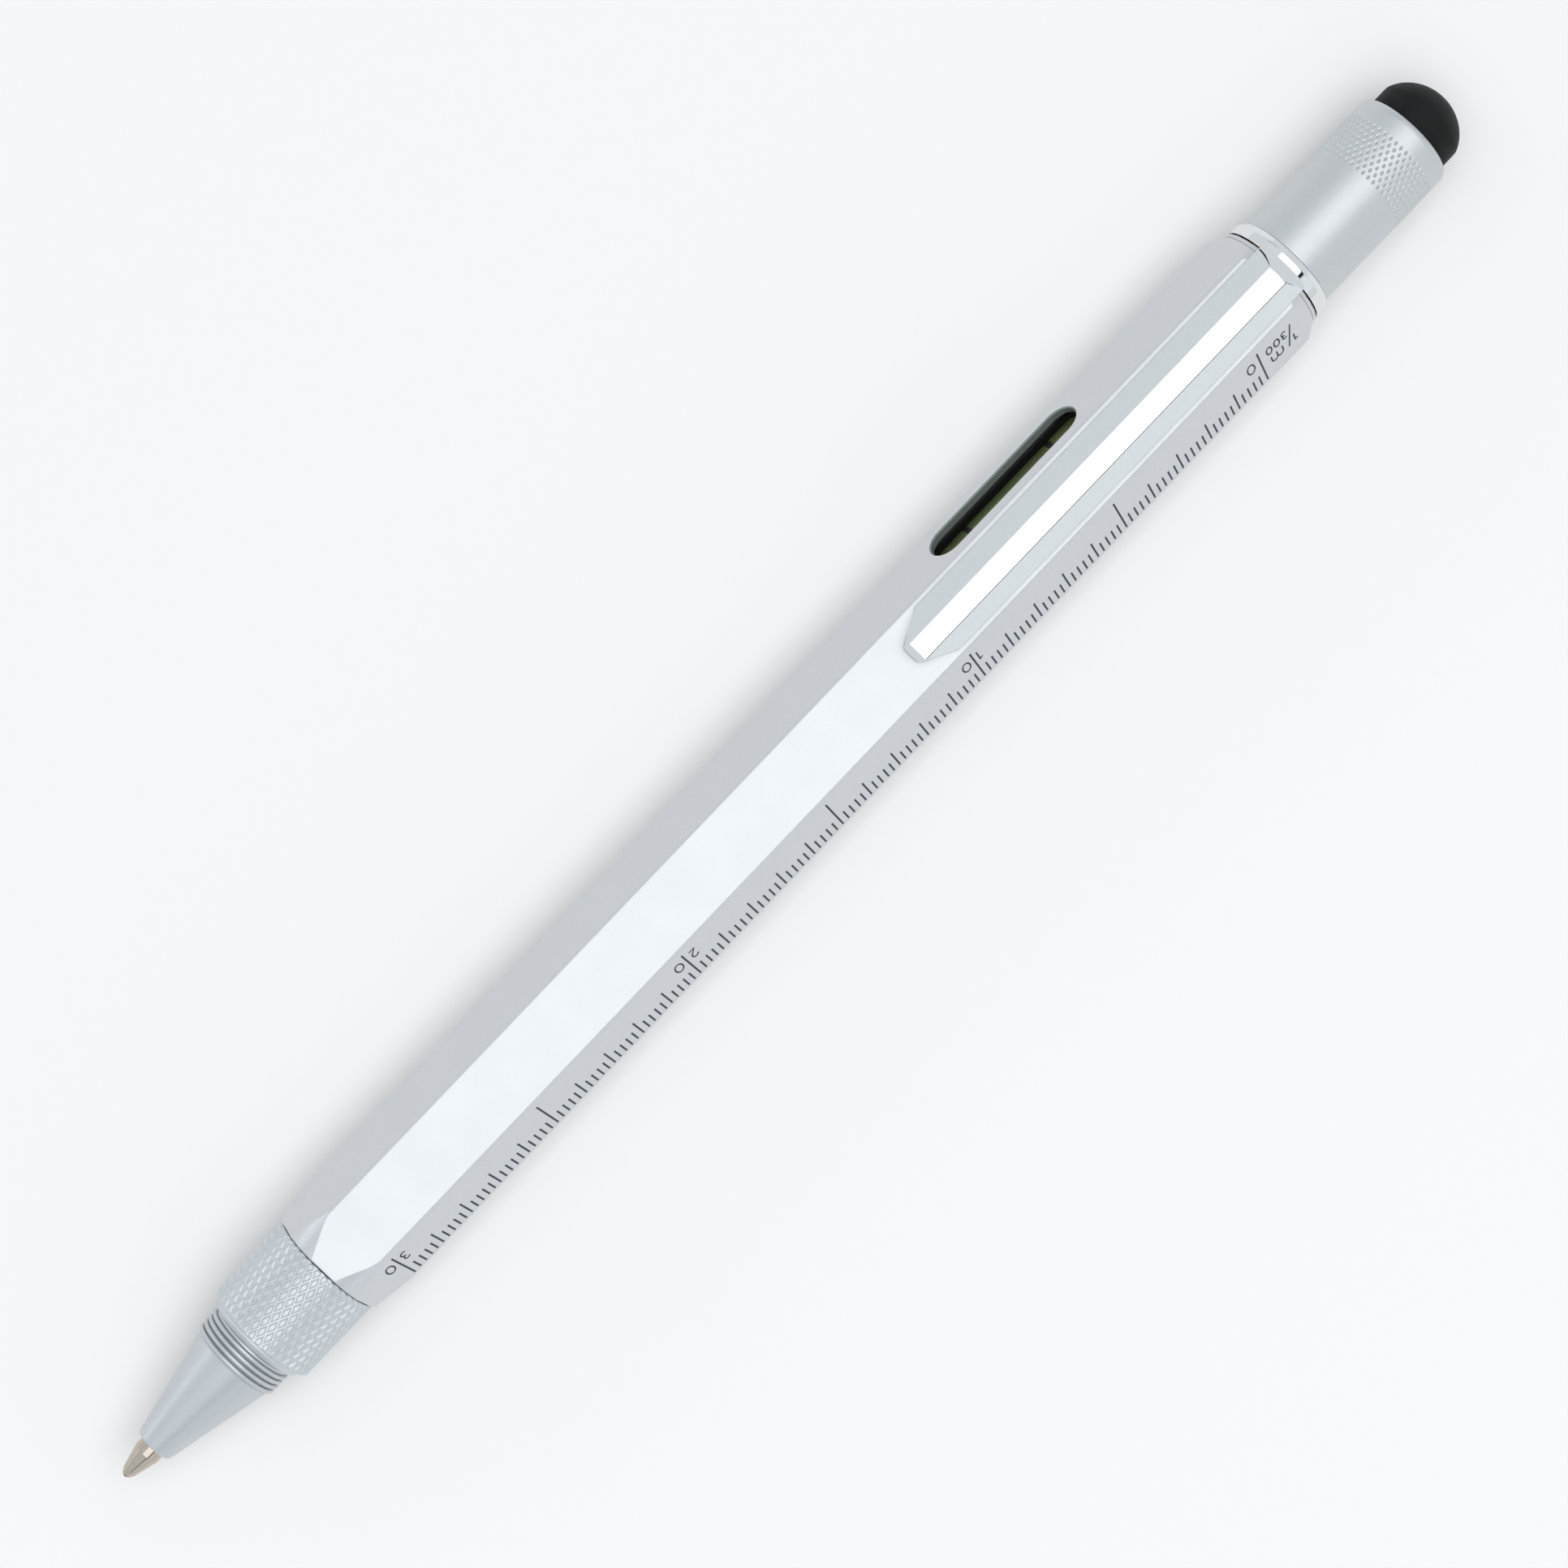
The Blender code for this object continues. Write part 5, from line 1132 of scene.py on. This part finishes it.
studio = {
    "floorSize": 4.0, "floorColour": (0.885, 0.882, 0.882), "floorRoughness": 0.7, "floorShine": 0.1,
    "floorPatch": 3.0, "floorTone": 0.01,
    "sky": [(0.0, (0.79, 0.81, 0.825)), (0.25, (0.785, 0.81, 0.83)), (0.5, (0.765, 0.805, 0.835)),
            (1.0, (0.83, 0.85, 0.87))],    # height of the direction and colour
    "skyForFloor": 0.72,    # how much of the sky the matt surfaces get: the rest comes from overhead
    "overheadFrom": 0.8,    # a lamp or card above this height faces down, and a lower one faces the pen
}
lamps = {
    "softBox": {"place": (0.12, -0.14, 0.9), "size": (1.2, 0.88), "glow": 0.80, "colour": (1.0, 0.99, 0.98)},
    "overheadFill": {"place": (0.05, -0.11, 0.9), "size": (1.2, 0.85), "glow": 1.66,
                     "colour": (1.0, 0.985, 0.97), "mirrored": False},
    "nearSide": {"place": (0.0, -1.2, 0.72), "size": (3.0, 0.7), "glow": 0.12, "colour": (0.98, 1.0, 1.0)},
    "farSide": {"place": (-0.55, 0.9, 0.30), "size": (0.4, 0.3), "glow": 0.9, "colour": (1.0, 1.0, 1.0)},
}
flags = {
    "softBoxFrame": {"place": (0.12, -0.675, 0.9), "size": (3.0, 0.18)},
    "farEndFlag": {"place": (0.656, 0.535, 0.414), "size": (0.42, 0.18)},
    "nearEndFlag": {"place": (0.656, -0.535, 0.414), "size": (0.12, 0.1)},
}
cameraView = {
    "place": (-0.00568, 0.00643, 0.283), "aim": (-0.00018, 0.00013, 0.005), "turn": 46.262, "lens": 78.78,
    "sensor": 36.0, "near": 0.01, "far": 20,
}


def lookingAt(place, aim, upward):
    # Turn and place of something whose -Z axis points at the aim
    ahead = (Vector(aim) - Vector(place)).normalized()
    right = ahead.cross(Vector(upward)).normalized()
    up = right.cross(ahead)
    return Matrix.Translation(place) @ Matrix((right, up, -ahead)).transposed().to_4x4()


def hung(place):
    # Turn and place of a lamp or card: straight down from overhead, else towards the pen
    overhead = place[2] > studio["overheadFrom"]
    return lookingAt(place, (*place[:2], 0) if overhead else (0, 0, 0), (0, 1, 0) if overhead else (0, 0, 1))


def flatPiece(name, width, depth):
    # A rectangle round its own middle that isn't part of the pen
    mesh = bpy.data.meshes.new(name)
    corners = np.array([(-1, -1, 0), (1, -1, 0), (1, 1, 0), (-1, 1, 0)]) * (width / 2, depth / 2, 0)
    mesh.from_pydata([tuple(corner) for corner in corners], [], [(0, 1, 2, 3)])
    flat = addObject(name, mesh)
    return flat


def buildFloor():
    # A pale matt surface under the pen, with patches that are hardly darker
    floor = flatPiece("studioFloor", studio["floorSize"], studio["floorSize"])
    colour = studio["floorColour"]
    look, tree, shader = newFinish("paleFloor", colour, 0.0, studio["floorRoughness"])
    dark = tuple(value * (1 - studio["floorTone"]) for value in colour)
    patches = noiseLayer(tree, studio["floorPatch"], detail=1.0)
    feed(tree, shader, {"Base Color": shadesBetween(tree, patches, dark, colour),
                        "Specular IOR Level": studio["floorShine"]})
    floor.data.materials.append(look)


def buildSky():
    # The sky's colour follows the height of the direction. Its strength is 1 + (s - 1) d: d is 1 for the
    # rays that light matt surfaces and 0 for the others.
    world = bpy.data.worlds.new("studioWorld")
    world.use_nodes = True
    tree = world.node_tree
    direction = addNode(tree, "TexCoord", {}).outputs["Generated"]
    height = addNode(tree, "SeparateXYZ", {"Vector": direction}).outputs["Z"]
    diffuse = addNode(tree, "LightPath", {}).outputs["Is Diffuse Ray"]
    strength = addNode(tree, "Math", {0: diffuse, 1: studio["skyForFloor"] - 1, 2: 1.0},
                       operation="MULTIPLY_ADD").outputs["Value"]
    colour = colourRamp(tree, height, studio["sky"])
    feed(tree, tree.nodes["Background"], {"Color": colour, "Strength": strength})
    scene.world = world


def buildLamps():
    # A lamp's power is its glow times pi times its area
    for name, lamp in lamps.items():
        light = bpy.data.lights.new(name, "AREA")
        light.shape = "RECTANGLE"
        light.size, light.size_y = lamp["size"]
        light.color = lamp["colour"]
        light.energy = lamp["glow"] * math.pi * light.size * light.size_y
        box = addObject(name, light)
        box.matrix_world = hung(lamp["place"])
        box.visible_glossy = lamp.get("mirrored", True)


def buildFlags():
    # Black cards that only mirrors see
    look, tree, shader = newFinish("blackCard", (0.01, 0.01, 0.01), 0.0, 0.9)
    feed(tree, shader, {"Specular IOR Level": 0.0})
    for name, flag in flags.items():
        card = flatPiece(name, *flag["size"])
        card.data.materials.append(look)
        card.matrix_world = hung(flag["place"])
        card.visible_camera = False
        card.visible_diffuse = False
        card.visible_shadow = False
        card.visible_transmission = False


def buildCamera():
    # Looks down at the pen's middle with the pen's length turned up to the right in the picture
    lens = bpy.data.cameras.new("photoCamera")
    lens.lens = cameraView["lens"]
    lens.sensor_width = cameraView["sensor"]
    lens.clip_start = cameraView["near"]
    lens.clip_end = cameraView["far"]
    turn = math.radians(cameraView["turn"])
    upward = (math.sin(turn), math.cos(turn), 0)
    camera = addObject("photoCamera", lens)
    camera.matrix_world = lookingAt(cameraView["place"], cameraView["aim"], upward)
    scene.camera = camera


buildFloor()
buildSky()
buildLamps()
buildFlags()
buildCamera()
print("studio ready")
